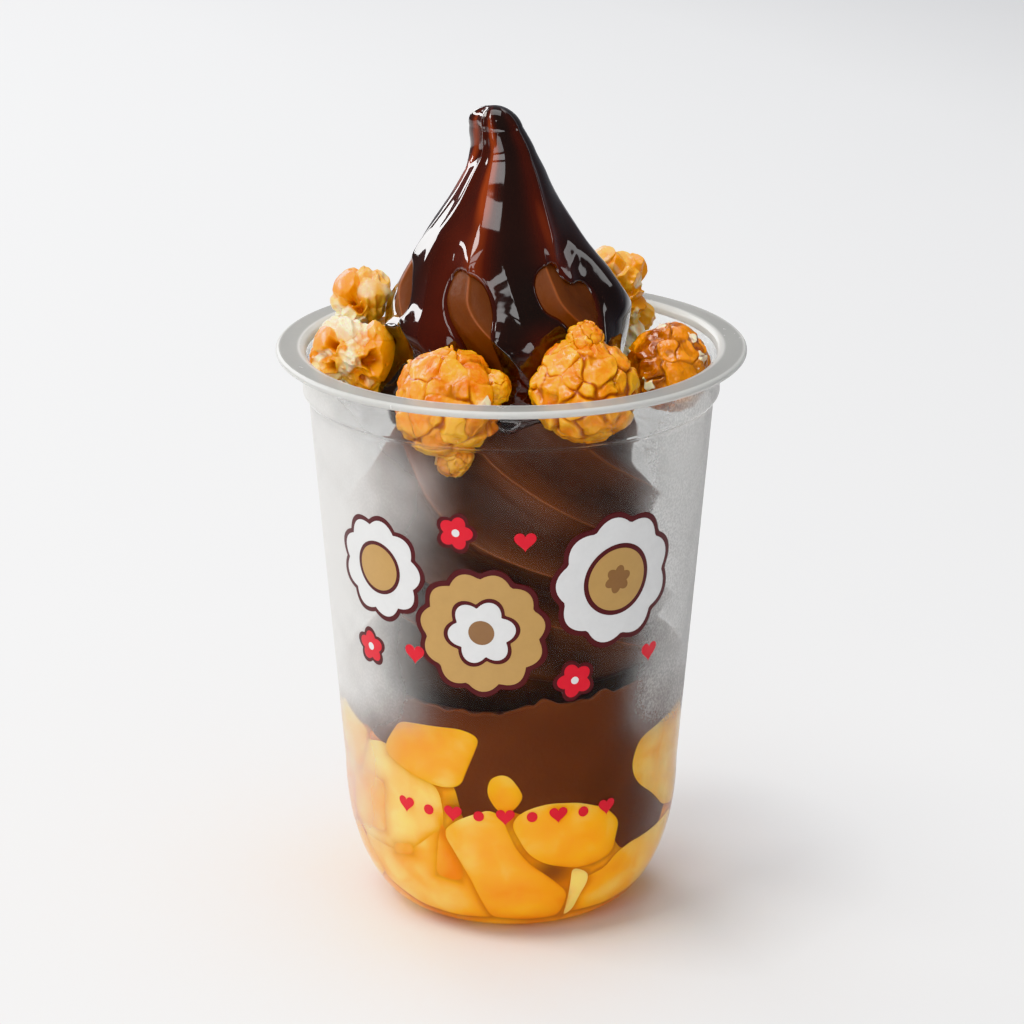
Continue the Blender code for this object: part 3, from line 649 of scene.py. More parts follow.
def add_frost():
    """Condensation, as a thin closed band on the outside under the print."""
    rise = np.linspace(FILM_FOOT, MILKY_FROM, fine(150))
    height = np.concatenate([rise, rise[::-1]])[:, None]
    azimuth = full_turn(280)
    points = ring_points(outer_radius(height) + np.repeat(FILM_SIDES, len(rise))[:, None],
                         azimuth, height)
    frost_and_reflection, speckle = np.zeros(points.shape[:2]), np.zeros(points.shape[:2])
    for at, level, wide, tall, milky, specks in HAZE:
        off = angle_between(azimuth, at) / wide
        near = np.exp(-off ** 4 - np.abs((height - level) / tall) ** 3)
        frost_and_reflection = 1 - (1 - frost_and_reflection) * (1 - milky * near)
        speckle = np.maximum(speckle, specks * near)
    cloud = waves(points, 20.0, 5) + 0.5 * waves(points, 7.0, 6)
    return surface("frost_and_reflection_film", points, fields={
        "frost_and_reflection": np.clip(frost_and_reflection * (1 + 0.10 * cloud), 0, 0.97),
        "speckle": np.clip(speckle * (1 + 0.3 * cloud), 0, 1)})


# ---------------------------------------------------------------- print on the cup

# Rosettes: azimuth, height, turn, and their layers from the wall out, each with its size,
# number of petals, how deep they are cut, and ink. A depth of 0 leaves a plain disc.
ROSETTES = {
    "left": (-133, 80, 0, [(11.4, 9, 0.12, "maroon"), (10.3, 9, 0.13, "white"),
                           (5.6, 5, 0, "maroon"), (4.8, 5, 0, "tan")]),
    "middle": (-99, 69.5, 9, [(14.0, 11, 0.10, "maroon"), (12.8, 11, 0.11, "tan"),
                              (7.8, 6, 0.22, "maroon"), (6.9, 6, 0.25, "white"),
                              (2.6, 5, 0, "brown")]),
    "right": (-57, 79, 18, [(14.6, 9, 0.11, "maroon"), (13.4, 9, 0.12, "white"),
                            (7.6, 5, 0, "maroon"), (6.6, 5, 0, "tan"), (3.0, 6, 0.3, "brown")]),
}
FLOWERS = [(-106, 90.5, 4.4), (-139, 62, 4.2), (-70, 58.5, 4.6)]      # azimuth, height, size
HEARTS = [(-86, 89), (-121, 63), (-42, 61)]                           # azimuth, height
HEART_SIZE = 2.2
ROW_AZIMUTHS = range(-128, -52, 9)      # of the low row, hearts and dots in turn
ROW_HEIGHT = 29.0
ROW_HEART_SIZE = 1.9
ROW_DOT_SIZE = 1.1
INK_SINK = 0.10                # how deep the plates of ink reach into the wall
INK_LIFT = 0.03                # how far the first layer stands off it
LAYER_LIFT = 0.02              # how much further each next layer does


def petals(size, count, depth):
    """A rosette: radius = size * (1 - depth * (1 - |cos(count * angle / 2)|))."""
    return lambda angle: size * (1 - depth * (1 - np.abs(np.cos(count * angle / 2))))


def heart(size):
    """A heart with its point down, as a radius round a point inside it.

    x = 16 sin^3 t and y = 13 cos t - 5 cos 2t - 2 cos 3t - cos 4t + 2, over 16.
    """
    t = np.linspace(0, 2 * math.pi, 400)
    x = 16 * np.sin(t) ** 3
    y = 13 * np.cos(t) - 5 * np.cos(2 * t) - 2 * np.cos(3 * t) - np.cos(4 * t) + 2
    at = np.arctan2(y, x) % (2 * math.pi)
    order = np.argsort(at)
    return lambda angle: size / 16 * np.interp(angle % (2 * math.pi), at[order],
                                               np.hypot(x, y)[order], period=2 * math.pi)


def add_ink(name, azimuth, height, reach, layer, turn=0.0):
    """One printed shape: a thin plate on the outer wall, filled round its middle.

    A point at share s and angle a lies s * reach(a) from the middle, along the wall.
    """
    angle = np.linspace(0, 2 * math.pi, fine(108), endpoint=False)
    share = np.concatenate([[1.0, 1.0, 0.99], np.linspace(0.96, 0.08, 11)])
    top = INK_LIFT + LAYER_LIFT * layer
    lift = np.full(len(share), top)
    lift[0] = -INK_SINK
    far = reach(angle - math.radians(turn)) * share[:, None]
    z = height + far * np.sin(angle)
    radius = wall_radius(z)
    points = ring_points(radius + lift[:, None], azimuth + np.degrees(far * np.cos(angle) / radius), z)
    middle = float(wall_radius(height))
    poles = [ring_points(middle - INK_SINK, azimuth, height), ring_points(middle + top, azimuth, height)]
    return surface(name, points, poles)


def add_print(inks):
    """A band of rosettes with small flowers and hearts between, and a low row."""
    def motif(label, azimuth, height, turn, layers):
        for layer, (shape, ink) in enumerate(layers):
            piece = add_ink(f"print_{label}_{layer}", azimuth, height, shape, layer, turn)
            finish_piece(piece, inks[ink], "clear_cup")

    for label, (azimuth, height, turn, layers) in ROSETTES.items():
        motif(f"rosette_{label}", azimuth, height, turn,
              [(petals(size, count, depth), ink) for size, count, depth, ink in layers])
    for index, (azimuth, height, size) in enumerate(FLOWERS):
        motif(f"flower_{index}", azimuth, height, 20 * index, [
            (petals(size, 5, 0.26), "maroon"), (petals(size - 0.9, 5, 0.3), "red"),
            (petals(0.8, 5, 0), "white")])
    for index, (azimuth, height) in enumerate(HEARTS):
        motif(f"heart_{index}", azimuth, height, 0, [(heart(HEART_SIZE), "red")])
    for index, azimuth in enumerate(ROW_AZIMUTHS):
        shape = heart(ROW_HEART_SIZE) if index % 2 == 0 else petals(ROW_DOT_SIZE, 5, 0)
        motif(f"row_{index}", azimuth, ROW_HEIGHT, 0, [(shape, "red")])


# ---------------------------------------------------------------- ice cream

CREST_ROUNDING = 0.05          # how round the swirl's crests are
# The pale lines on the crests are painted highlight.
PALE_ROUNDING = 0.03           # how round the pale lines on them are
SEAM_HEIGHT = 0.16             # of the fine seam along each crest
SWELL_AZIMUTH = -178.0         # where the swirl leans out a little
SWELL_HEIGHT = 131.0
SWELL_OUT = 1.7
SWIRL_TOP = 156.6              # height of the swirl's last row
RIB_COLUMNS = 44               # columns of the mesh on each rib
CREST_PULL = 0.11              # how far they draw together at the crests
# Below these heights the coil in the cup is darker, as painted shade.
HIGH_PART = (104, 118)         # heights between which the swirl turns paler on the whole
FLOW_STRETCH = 0.22            # height's share in the ripples, which run along the flow
HIDDEN_FOOT = BASE_FLOOR - 1.5  # height of the coil's end in the base
FILM_SINK = 0.045              # how far the film of ice cream reaches into the wall
# Upper edge of that film, by azimuth and height.
BASE_EDGE = [(-180, 49), (-161, 47.9), (-147, 49.3), (-137, 50.5), (-124, 52.2), (-110, 51.8),
             (-98, 51.5), (-89, 52.5), (-83, 53.6), (-80.5, 55.1), (-77.5, 53.9), (-74, 53.4),
             (-66, 53.4), (-60, 54.9), (-54.5, 54.3), (-45, 55.0), (-36, 54.2), (-28, 52.6),
             (0, 52), (20, 53), (70, 50.5), (120, 53)]
# Foot of the ice cream on the wall, where it has run down between the dice.
ICE_FOOT = [(-180, 44), (-160, 43.5), (-140, 42), (-125, 40), (-110, 36), (-106, 28), (-98, 28),
            (-92, 31), (-86, 29), (-70, 28), (-56, 26), (-50, 20), (-46, 18.3), (-36, 18.8),
            (-26, 20), (-18, 30), (-8, 41), (20, 42.5), (60, 40), (120, 42.5)]
# Rows of the base from its middle to the wall, as shares of the radius; then over the film's
# edge, as distances inward and down; and then down to the floor, inward and share of the way.
BASE_UNDERSIDE = (0.4, 0.75, 0.9)
BASE_LIP = ((0.25, -0.12), (0.7, -0.05), (1.2, 0.25), (1.7, 0.9))
BASE_SLOPE = ((2.4, 0.5), (3.6, 0.85), (5.5, 1.0))


def twist(height):
    """Turn of the ribs, which run straight up above the last knot."""
    return smooth_curve(RIB_TWIST + [(ICE_PEAK, RIB_TWIST[-1][1])], height)


def rib_azimuth(share, height):
    """Azimuth of a place along the ribs, given in ribs, at a height."""
    return CREST_AZIMUTH + share * 360.0 / RIBS + twist(height)


def valley(share, rounding):
    """0 on a rib's crest and 1 in the furrow beside it, by the place in ribs. A greater
    rounding makes the crests rounder."""
    rise = np.abs(np.sin(np.pi * share))
    full = math.sqrt(1 + rounding ** 2) - rounding
    return (np.sqrt(rise ** 2 + rounding ** 2) - rounding) / full


def popcorn_limit(azimuth, height, centre_x, space):
    """How far the swirl may reach before it meets a popcorn's ball, kept off by space."""
    limit = np.full(np.broadcast(azimuth, height).shape, np.inf)
    for _, balls in POPCORNS:
        for x, y, z, radius in balls:
            away = np.hypot(x - centre_x, y)
            off = np.radians(angle_between(azimuth, np.degrees(np.arctan2(y, x - centre_x))))
            under = (radius + space) ** 2 - (height - z) ** 2 - (away * np.sin(off)) ** 2
            hit = away * np.cos(off) - np.sqrt(np.maximum(under, 0))
            limit = np.where((under > 0) & (np.cos(off) > 0), np.minimum(limit, hit), limit)
    return limit


def left_swell(azimuth, height):
    """The swirl leans out a little on its left side."""
    return SWELL_OUT * spot(azimuth, height, SWELL_AZIMUTH, SWELL_HEIGHT, 26.0, 10.0)


def swirl_radius(height, azimuth, centre_x, share):
    """Radius of the ribbed swirl, pressed in by the popcorn, with a seam on each crest."""
    furrow = smooth_curve(RIB_DEPTH, height) * valley(share, CREST_ROUNDING)
    seam = SEAM_HEIGHT * swell(share * 360, 0, 9.0) * smooth_step(58, 64, height)
    radius = smooth_curve(SWIRL_RADIUS, height) - furrow + seam + left_swell(azimuth, height)
    return np.minimum(radius, popcorn_limit(azimuth, height, centre_x, DENT_SPACE))


def coil_grid():
    """Place in ribs, azimuth, height and height over the lip at each point of the coil.

    The columns are closer together at the crests. Up to the coil's top the rows rise
    from its tilted lip, whose height under a point is found in a few rounds.
    """
    even = np.arange(fine(RIB_COLUMNS)) / fine(RIB_COLUMNS)
    eased = even - CREST_PULL * np.sin(2 * np.pi * even)
    share = (np.arange(RIBS)[:, None] + eased).ravel()
    rise = np.linspace(0.0, 1.0, fine(120), endpoint=False)[:, None] ** 1.2
    height = np.full((len(rise), len(share)), 60.0)
    for _ in range(6):
        lip = around(COIL_LIP, rib_azimuth(share, height))
        height = lip + (COIL_TOP - lip) * rise ** 1.15
    above = np.linspace(COIL_TOP, SWIRL_TOP, fine(110))[:, None] + 0 * share
    height = np.concatenate([height, above])
    return share, rib_azimuth(share, height), height, height - np.concatenate([lip, 0 * above])


def crest_field(share, height):
    """How pale the ice cream is, as painted light and shade: a painted highlight on the crests,
    painted shade in the furrows, on one flank of each rib and on the coil below the swirl.
    """
    high = smooth_step(*HIGH_PART, height)
    crest = 1 - valley(share, PALE_ROUNDING)
    crest = 0.75 * crest * (1 - high) + (0.40 + 0.34 * crest) * high
    crest = crest - 0.14 * np.sin(2 * np.pi * share) * (0.4 + 0.6 * high)
    return np.clip(crest + 0.24 * swell(share * 360, 0, 8.0), 0, 1)


def add_coil():
    """Ribbed coil and swirl in one: radius = swirl's curve less the ribs' furrows,
    with a rolled lip at its foot, and faint ripples along the flow."""
    share, azimuth, height, over_lip = coil_grid()
    centre_x = smooth_curve(SWIRL_CENTRE_X, height)
    round_off = np.clip(1 - over_lip / LIP_ROUNDING, 0, 1)
    tuck = LIP_ROUNDING * (1 - np.sqrt(1 - round_off ** 2)) * 0.9
    flow = ring_points(30.0, share * 360 / RIBS, height * FLOW_STRETCH)
    ripple = 0.10 * waves(flow, 5.0, 31) + 0.22 * waves(flow, 17.0, 32)
    radius = swirl_radius(height, azimuth, centre_x, share) - tuck + ripple
    under = ring_points(SHADOW_RADIUS - 0.5, azimuth[0], (BASE_FLOOR + height[0]) / 2)
    hidden = ring_points(SHADOW_RADIUS, azimuth[0], HIDDEN_FOOT)
    points = np.concatenate([hidden[None], under[None], ring_points(radius, azimuth, height, centre_x)])
    crest = crest_field(share, height)
    peak_x = float(smooth_curve(SWIRL_CENTRE_X, ICE_PEAK))
    return surface("ice_cream_coil", points, [(0, 0, HIDDEN_FOOT), (peak_x, 0, ICE_PEAK)],
                   {"crest": np.concatenate([0 * crest[:2], crest])})


def mango_top(azimuth, share):
    """Height of the mango's top, by azimuth and by share of the way out to the wall."""
    wall_height = around(MANGO_TOP, azimuth)
    return MANGO_MIDDLE_HEIGHT + (wall_height - MANGO_MIDDLE_HEIGHT) * smooth_step(0.2, 1.0, share)


def add_base():
    """Base of the ice cream: it lies on the mango, fills out to the wall, and thins to a
    torn film on the wall above its floor."""
    azimuth = full_turn(420)
    edge = around(BASE_EDGE, azimuth)
    edge = edge + 0.28 * ring_waves(30.0, azimuth, 5.0, 3) + 0.16 * ring_waves(30.0, azimuth, 2.0, 4)
    foot = around(ICE_FOOT, azimuth) + 0.5 * ring_waves(30.0, azimuth, 7.0, 5)
    slump = 0.35 * ring_waves(20.0, azimuth, 9.0, 8)
    rings = [(inner_radius(foot) * share, mango_top(azimuth, share) - 0.5) for share in BASE_UNDERSIDE]
    for rise in np.linspace(0, 1, fine(40)):
        height = foot + (edge - foot) * rise
        rings.append((inner_radius(height) + FILM_SINK, height))
    rings += [(inner_radius(edge) - inward, edge - down) for inward, down in BASE_LIP]
    rings += [(inner_radius(edge) - BASE_FILM - inward,
               edge - 0.9 + (BASE_FLOOR - edge + 0.9) * share + slump) for inward, share in BASE_SLOPE]
    points = np.array([ring_points(radius, azimuth, height) for radius, height in rings])
    return surface("ice_cream_base", points,
                   [(0, 0, MANGO_MIDDLE_HEIGHT - 0.5), (0, 0, BASE_FLOOR)],
                   {"crest": 0.3 + 0.2 * waves(points, 14.0, 9)})


# ---------------------------------------------------------------- sauce

# Where the ribs are bare, as outlines in azimuth and height.
BARE_LEFT = [(-115, 137.2), (-107, 136.2), (-101, 134.2), (-97.8, 130), (-98.4, 124.6),
             (-94.5, 120), (-92, 114), (-106, 114), (-112, 121.5), (-118, 125.4), (-124.5, 128.2),
             (-128, 131.5), (-126.6, 135.4), (-121, 137)]
BARE_RIGHT = [(-60, 138), (-54.5, 138.3), (-49.8, 137.2), (-49.2, 135), (-43, 133.2),
              (-36, 133.6), (-30, 132.8), (-28.4, 130.4), (-30.5, 128), (-35.5, 125), (-41, 121),
              (-47, 120), (-54, 124.5), (-61, 128.5), (-69, 130), (-71.2, 133.8), (-67, 136.8)]
BARE_SIDE = [(-186, 139.5), (-170, 139), (-160, 136), (-153, 131), (-150.5, 127.4),
             (-156, 125), (-168, 124.6), (-184, 126.5), (-196, 130), (-197, 136)]
BARE_BACK = [(28, 137.4), (36, 138), (44, 136), (50, 131), (52, 125), (46, 121), (36, 124),
             (28, 128), (24, 133)]
BARE_REAR = [(84, 136), (92, 137.6), (100, 135), (104, 129), (102, 124), (94, 122), (86, 126),
             (82, 131)]
BARE = (BARE_LEFT, BARE_RIGHT, BARE_SIDE, BARE_BACK, BARE_REAR)
BARE_ROUNDING = 2.5            # of the corners of these outlines
# Where the thin sauce ends between the popcorns, by azimuth and height.
SAUCE_RUN = [(-170, 109), (-150, 107), (-135, 109), (-115, 110), (-92, 106), (-70, 109),
             (-45, 107), (-20, 110), (0, 107), (30, 109), (50, 107), (70, 110), (90, 110),
             (115, 107), (135, 110), (160, 108)]
# Strips where the sauce has run thin and shows red: azimuth, half width, from and to height,
# strength.
THIN_STRIPS = [(-111, 10, 150, 166, 1.0), (-107, 9, 128, 150, 0.5), (-148, 26, 150, 166, 0.4),
               (-52, 13, 138, 165, 0.35), (-126, 20, 122, 147, 0.42),
               (-172, 10, 152, 166, 0.85), (-72, 10, 118, 126, 0.5), (-50, 9, 132, 150, 0.25),
               (-84, 7, 110, 119, 0.4), (150, 16, 128, 156, 0.3), (60, 18, 130, 158, 0.25),
               (5, 14, 126, 150, 0.2)]
# Raised lines along the flow: azimuth by height, half width in degrees, how far out.
RIDGES = [([(132, -56), (140, -50), (153, -43), (165, -41)], 5.0, 0.45),
          ([(132, -104), (145, -110), (158, -117), (165, -110)], 9.0, 0.3),
          ([(130, -152), (140, -148), (153, -141), (162, -136)], 6.0, 0.35)]
# Drips and spills of sauce: azimuth, height, half widths, how far out.
DRIPS = [(-166, 123.4, 8, 1.9, 2.4), (-157, 110.5, 13, 6, 7.0)]
SAUCE_LEAN = 1.3               # length down the swirl's side for each mm of height
SAUCE_ROUNDING = 0.45          # how round the sauce is over the crests
SAUCE_LEAST = 0.8              # over the ice cream, where the full form comes too near
RIBS_FADE = (140, 152)         # heights between which the ribs fade out
EDGE_HEIGHT = 0.75             # of the bead at the sauce's edge
EDGE_SLOPE = 1.5               # with which the bead leaves the ice cream
SAUCE_COLUMNS = 420
SAUCE_FOOT = 104.0             # height of the sauce's first row
TIP_FOOT = 158.0               # height from which its rows are closer
TIP_TURN = 162.6               # height from which the tip rounds off
LAST_ROW = 166.97              # height of the last row, just under the peak
HOOK_AZIMUTH = -161.0          # the fold under the curled tip
HOOK_HALF_ANGLE = 9.0
HOOK_DEPTH = 1.5
HOOK_FOOT = (155, 158)         # heights between which it sets in and ends
HOOK_TOP = (164.5, 161)


def sauce_cover(azimuth, height):
    """Distance in from the sauce's edge, in mm along the swirl: above zero on sauce."""
    radius = smooth_curve(SAUCE_RADIUS, height)
    cover = (height - around(SAUCE_RUN, azimuth)) * 0.8
    cover = cover + 0.35 * waves(ring_points(radius, azimuth, height), 9.0, 21)
    for outline in BARE:
        middle = np.mean([at for at, _ in outline])
        scale = smooth_curve(SAUCE_RADIUS, [level for _, level in outline])
        corners = [(math.radians(at - middle) * reach, level * SAUCE_LEAN)
                   for (at, level), reach in zip(outline, scale)]
        off = angle_between(azimuth, middle)
        near = np.abs(off) < 90
        far = np.full(np.shape(off), 20.0)
        far[near] = outline_distance((np.radians(off) * radius)[near], (height * SAUCE_LEAN)[near],
                                     rounded_outline(corners, BARE_ROUNDING, 60))
        cover = np.minimum(cover, far)
    return cover


def edge_bead(cover):
    """Height of the sauce at a distance in from its edge: it leaves the ice cream at the
    edge's slope, rounds to the bead's height, and then thickens slowly."""
    inside = np.clip(cover, 0, 12)
    bead = EDGE_HEIGHT * (1 - np.exp(-EDGE_SLOPE * inside / EDGE_HEIGHT)) + 0.22 * inside
    return np.where(cover > 0, bead, np.maximum(EDGE_SLOPE * cover, -EDGE_HEIGHT))


def sauce_form(height, azimuth, centre_x, share):
    """Radius of what the sauce lies on, and of the sauce's full form, which is ribbed more
    softly. Toward the tip the ribs fade out, and only sauce is left."""
    calm = smooth_step(*RIBS_FADE, height)
    depth = smooth_curve(RIB_DEPTH, height) * (SAUCE_RIB_SHARE * (1 - calm) + 0.05 * calm)
    full = smooth_curve(SAUCE_RADIUS, np.minimum(height, TIP_TURN))
    full = full - depth * valley(share, SAUCE_ROUNDING) + left_swell(azimuth, height)
    bare = swirl_radius(height, azimuth, centre_x, share)
    bare = bare + (full - SAUCE_COAT - bare) * calm
    return bare, soft_max(np.array([full, bare + SAUCE_LEAST]), 3.0)


def raised_sauce(height, azimuth, hook):
    """How far the ridges, the tip's tail and the drips stand out, less the hook's fold."""
    tail = smooth_curve(TAIL_HEIGHT, np.minimum(height, TIP_TURN))
    out = tail * swell(azimuth, TAIL_AZIMUTH, TAIL_HALF_ANGLE) - HOOK_DEPTH * hook
    for line, wide, far in RIDGES:
        foot = line[0][0]
        along = smooth_step(foot, foot + 8, height)
        out = out + far * along * swell(azimuth, smooth_curve(line, height), wide)
    for at, level, wide, tall, far in DRIPS:
        out = out + far * spot(azimuth, height, at, level, wide, tall)
    return out


def thin_field(height, azimuth, cover, hook, flow):
    """How red the sauce shows: in strips along the flow and just inside its edge. In the hook's
    fold it stays dark, as painted shade.
    """
    red = 0.05 * waves(flow, 24.0, 43)
    for at, wide, low, high, amount in THIN_STRIPS:
        strip = swell(azimuth, at, wide) * smooth_step(low - 6, low + 2, height)
        red = red + amount * strip * smooth_step(high + 4, high - 4, height)
    # The hook's fold is kept dark, as painted shade.
    return np.clip(np.maximum(red - 0.9 * hook, 0.35 * smooth_step(1.0, 0.0, cover)), 0, 1)


def add_sauce():
    """Coat of sauce over the swirl: it stands to the least of its full form and a rounded
    bead that rises from its edge, with raised lines and a folded tip."""
    share = np.arange(fine(SAUCE_COLUMNS)) * RIBS / fine(SAUCE_COLUMNS)
    rows = np.concatenate([np.linspace(SAUCE_FOOT, TIP_FOOT, fine(185)),
                           np.linspace(TIP_FOOT, LAST_ROW, fine(46))[1:]])
    height = rows[:, None] + 0 * share
    azimuth = rib_azimuth(share, height)
    centre_x = smooth_curve(SWIRL_CENTRE_X, height)
    bare, full = sauce_form(height, azimuth, centre_x, share)
    cover = sauce_cover(azimuth, height)
    thick = -soft_max(np.array([-(full - bare), -edge_bead(cover)]), 4.0)
    flow = ring_points(full, azimuth, height * FLOW_STRETCH)
    ripple = 0.13 * waves(flow, 11.0, 41) * smooth_step(0, 5, cover) * smooth_step(5, 14, full)
    hook = swell(azimuth, HOOK_AZIMUTH, HOOK_HALF_ANGLE)
    hook = hook * smooth_step(*HOOK_FOOT, height) * smooth_step(*HOOK_TOP, height)
    radius = bare + thick + ripple + raised_sauce(height, azimuth, hook)
    radius = np.minimum(radius, popcorn_limit(azimuth, height, centre_x, -SAUCE_SINK))
    close_in = np.clip((height - TIP_TURN) / (SAUCE_PEAK - TIP_TURN), 0, 1)
    points = ring_points(radius * np.sqrt(1 - close_in ** 2), azimuth, height, centre_x)
    peak_x = float(smooth_curve(SWIRL_CENTRE_X, SAUCE_PEAK))
    return surface("sauce_coat", points, [(0, 0, SAUCE_FOOT), (peak_x, 0, SAUCE_PEAK)],
                   {"thin": thin_field(height, azimuth, cover, hook, flow)})


# ---------------------------------------------------------------- mango

# Dice pressed on the wall at the front, the lower ones first: corners in azimuth and
# height, tone from 0 pale to 1 deep, and its change over 10 mm to the right and up. The
# tone and its change are partly the fruit's own colour and partly painted light and shade.
FRONT_DICE = [
    ([(-166, 36), (-161.9, 38.1), (-136.8, 41.5), (-124.8, 37.3), (-115.1, 34.1), (-113.5, 28.9),
      (-113.8, 24.8), (-124.3, 19.9), (-136.1, 16.5), (-153.7, 16.0), (-162, 22.7)],
     0.04, 0.10, 0.0),
    ([(-157, 17.6), (-136.5, 17.2), (-127.1, 19.1), (-114.8, 25.4), (-110.1, 22.7), (-104.4, 16.2),
      (-98.1, 9.0), (-96.9, 4.0), (-114.4, 3.4), (-132.5, 4.4), (-150, 8.6)], 0.36, 0.12, 0.05),
    ([(-136, 18.9), (-127, 20.1), (-127.5, 17.5), (-136.5, 16.4)], 0.70, 0.0, 0.0),
    ([(-114.7, 27.2), (-107.0, 15.7), (-109, 13.2), (-118.7, 13.8)], 0.78, 0.0, 0.0),
    ([(-12, 45), (-19.3, 44.7), (-30.3, 43.6), (-39.1, 42.6), (-43.2, 41.2), (-45.4, 37.1),
      (-44.4, 34.2), (-40.8, 31.3), (-33.0, 28.0), (-24.2, 23.4), (-10, 21), (-4, 33)],
     0.34, -0.05, 0.10),
    ([(-12, 20.5), (-22.6, 20.0), (-32.0, 19.4), (-43.6, 18.8), (-50.3, 17.1), (-53, 14.7),
      (-61.4, 13.4), (-66.2, 9.8), (-67, 4.4), (-43.4, 4.2), (-18, 6.5), (-6, 13)],
     0.40, -0.12, 0.05),
    ([(-67.8, 16.6), (-61.0, 14.7), (-60.0, 12.3), (-62.4, 8.8), (-63.1, 4.6), (-66.4, 3.2),
      (-67.4, 8.0), (-67.5, 12.7)], -0.25, 0.0, 0.0),
    ([(-129.6, 47.2), (-123.5, 47.6), (-115.1, 47.8), (-106.5, 48.0), (-100.0, 46.4),
      (-102.2, 42.6), (-104.9, 38.6), (-107.2, 34.9), (-114.3, 34.2), (-124.8, 35.7),
      (-136.1, 38.5), (-136.9, 41.0)], 0.52, -0.05, 0.24),
    ([(-114.5, 24.6), (-109.3, 27.5), (-102.2, 29.5), (-97.1, 30.6), (-92.9, 28.7),
      (-90.8, 25.2), (-88.4, 21.8), (-83.5, 18.1), (-76.0, 14.7), (-67.6, 10.1), (-68.5, 3.6),
      (-81.9, 3.2), (-98.9, 4.0), (-102.1, 9.0), (-105.0, 14.0), (-109.8, 19.7)],
     0.52, 0.04, -0.10),
    ([(-90.1, 26.8), (-88.4, 29.0), (-84.6, 30.6), (-77.0, 31.7), (-66.4, 31.1), (-55.6, 28.7),
      (-49.5, 25.0), (-50.5, 21.8), (-51.2, 17.8), (-58.9, 16.3), (-66.8, 16.1), (-78.2, 17.9),
      (-84.4, 20.5)], 0.50, 0.0, -0.08),
    ([(-97.4, 37.2), (-93.7, 38.4), (-90.4, 37.9), (-87.1, 35.1), (-85.9, 33.2), (-88.4, 30.7),
      (-92.1, 29.3), (-95.4, 30.6), (-98.4, 33.9)], 0.56, 0.0, -0.25),
]
SIDE_TIERS = [(11.5, 8, -6.0), (25.5, 9, 8.0), (38.5, 9, -2.0)]   # height, count, first azimuth
SIDE_SPAN = 215.0              # degrees round the sides and back that each tier fills
DICE_DEPTH = 8.0
DICE_ROUNDING = 2.0            # of the corners of a dice's outline
DICE_LIFT = 0.08               # how far the first dice reaches into the wall
DICE_STEP = 0.008              # how much further each next one does, so it shows in front
# Rows of a dice from the middle of its back to its face, as shares of its outline and of its
# depth. The face's rows go on from the last share to the middle.
DICE_ROWS = [(0.35, 1.0), (0.75, 0.97), (0.86, 0.85), (0.9, 0.6), (0.95, 0.35), (0.98, 0.15),
             (1.0, 0.06), (0.995, 0.02), (0.985, 0.005)]
FLAT_RADIUS = 31.0             # wall radius on which distances between dice are measured
SHADE_REACH = 1.7              # how far a dice's shade falls on those under it
SHADE_SEARCH = 26.0            # a dice shades nothing further from its middle than this
PULP_FOOT = MANGO_FLOOR - 1.06
PULP_LID = (0.97, 0.75, 0.4)   # rows of the pulp's top, as shares of its radius
PULP_SINK = 0.02               # how far the juice reaches into the wall
# Brown places in the juice, melted chocolate and painted shade: azimuth, height, half widths,
# strength.
BROWN_POCKETS = [(-75, 16, 9, 4.0, 0.95), (-105, 30, 11, 3.5, 0.8), (-47, 22, 5, 6, 0.7)]


def side_dice():
    """Outlines of the dice round the sides and back: leaning boxes of unlike size."""
    random = np.random.default_rng(77)
    for level, count, turn in SIDE_TIERS:
        for k in range(count):
            azimuth = turn + SIDE_SPAN * (k + 0.5) / count
            height = level + random.uniform(-1.5, 1.5)
            wide, tall = random.uniform(11, 15), random.uniform(10.5, 14)
            lean = random.uniform(-0.6, 0.6)
            box = np.array([(-wide, -tall), (wide, -tall), (wide, tall), (-wide, tall)]) / 2
            box = box * random.uniform(0.82, 1.12, (4, 2))
            across = box[:, 0] * math.cos(lean) - box[:, 1] * math.sin(lean)
            up = box[:, 0] * math.sin(lean) + box[:, 1] * math.cos(lean)
            degrees = np.degrees(across / float(inner_radius(height)))
            level_up = np.clip(height + up, 3.0, around(MANGO_TOP, azimuth) - 0.2)
            yield np.column_stack([azimuth + degrees, level_up])


def all_dice():
    """Outline and tone of every dice: the ones in front, then those round the sides."""
    random = np.random.default_rng(78)
    for outline, *tone in FRONT_DICE:
        yield outline, tone
    for outline in side_dice():
        yield outline, [random.uniform(0.2, 0.65), random.uniform(-0.15, 0.15),
                        random.uniform(-0.15, 0.15)]


def shade_under(azimuth, height, outlines):
    """How much the dice that lie over a point darken it: exp(-distance / reach)."""
    turn = 2 * math.pi * FLAT_RADIUS
    x = np.radians(azimuth) * FLAT_RADIUS
    shade = np.zeros(np.shape(x))
    for outline in outlines:
        corners = np.array(outline, dtype=float)
        corners[:, 0] = np.radians(corners[:, 0]) * FLAT_RADIUS
        centre, level = corners.mean(axis=0)
        near_x = (x - centre + turn / 2) % turn - turn / 2 + centre
        near = np.hypot(near_x - centre, height - level) < SHADE_SEARCH
        if near.any():
            far = outline_distance(near_x[near], height[near], corners)
            shade[near] = np.maximum(shade[near], np.exp(-np.maximum(far, 0) / SHADE_REACH))
    return shade


def place_on_wall(azimuth, height, depth):
    """Point at a depth in from the cup's inner wall, along the wall's own normal."""
    slope = (inner_radius(height + 0.05) - inner_radius(height - 0.05)) / 0.1
    length = np.sqrt(1 + slope ** 2)
    return ring_points(inner_radius(height) - depth / length, azimuth, height + depth * slope / length)


def dice_outline(corners, middle, reach):
    """A dice's rounded outline in mm round its middle, laid flat and anticlockwise."""
    flat = np.column_stack([np.radians(corners[:, 0] - middle[0]) * reach, corners[:, 1] - middle[1]])
    outline = rounded_outline(flat, DICE_ROUNDING, fine(96))
    x, y = outline.T
    area = np.sum(x * np.roll(y, -1) - y * np.roll(x, -1))
    return outline if area > 0 else outline[::-1]


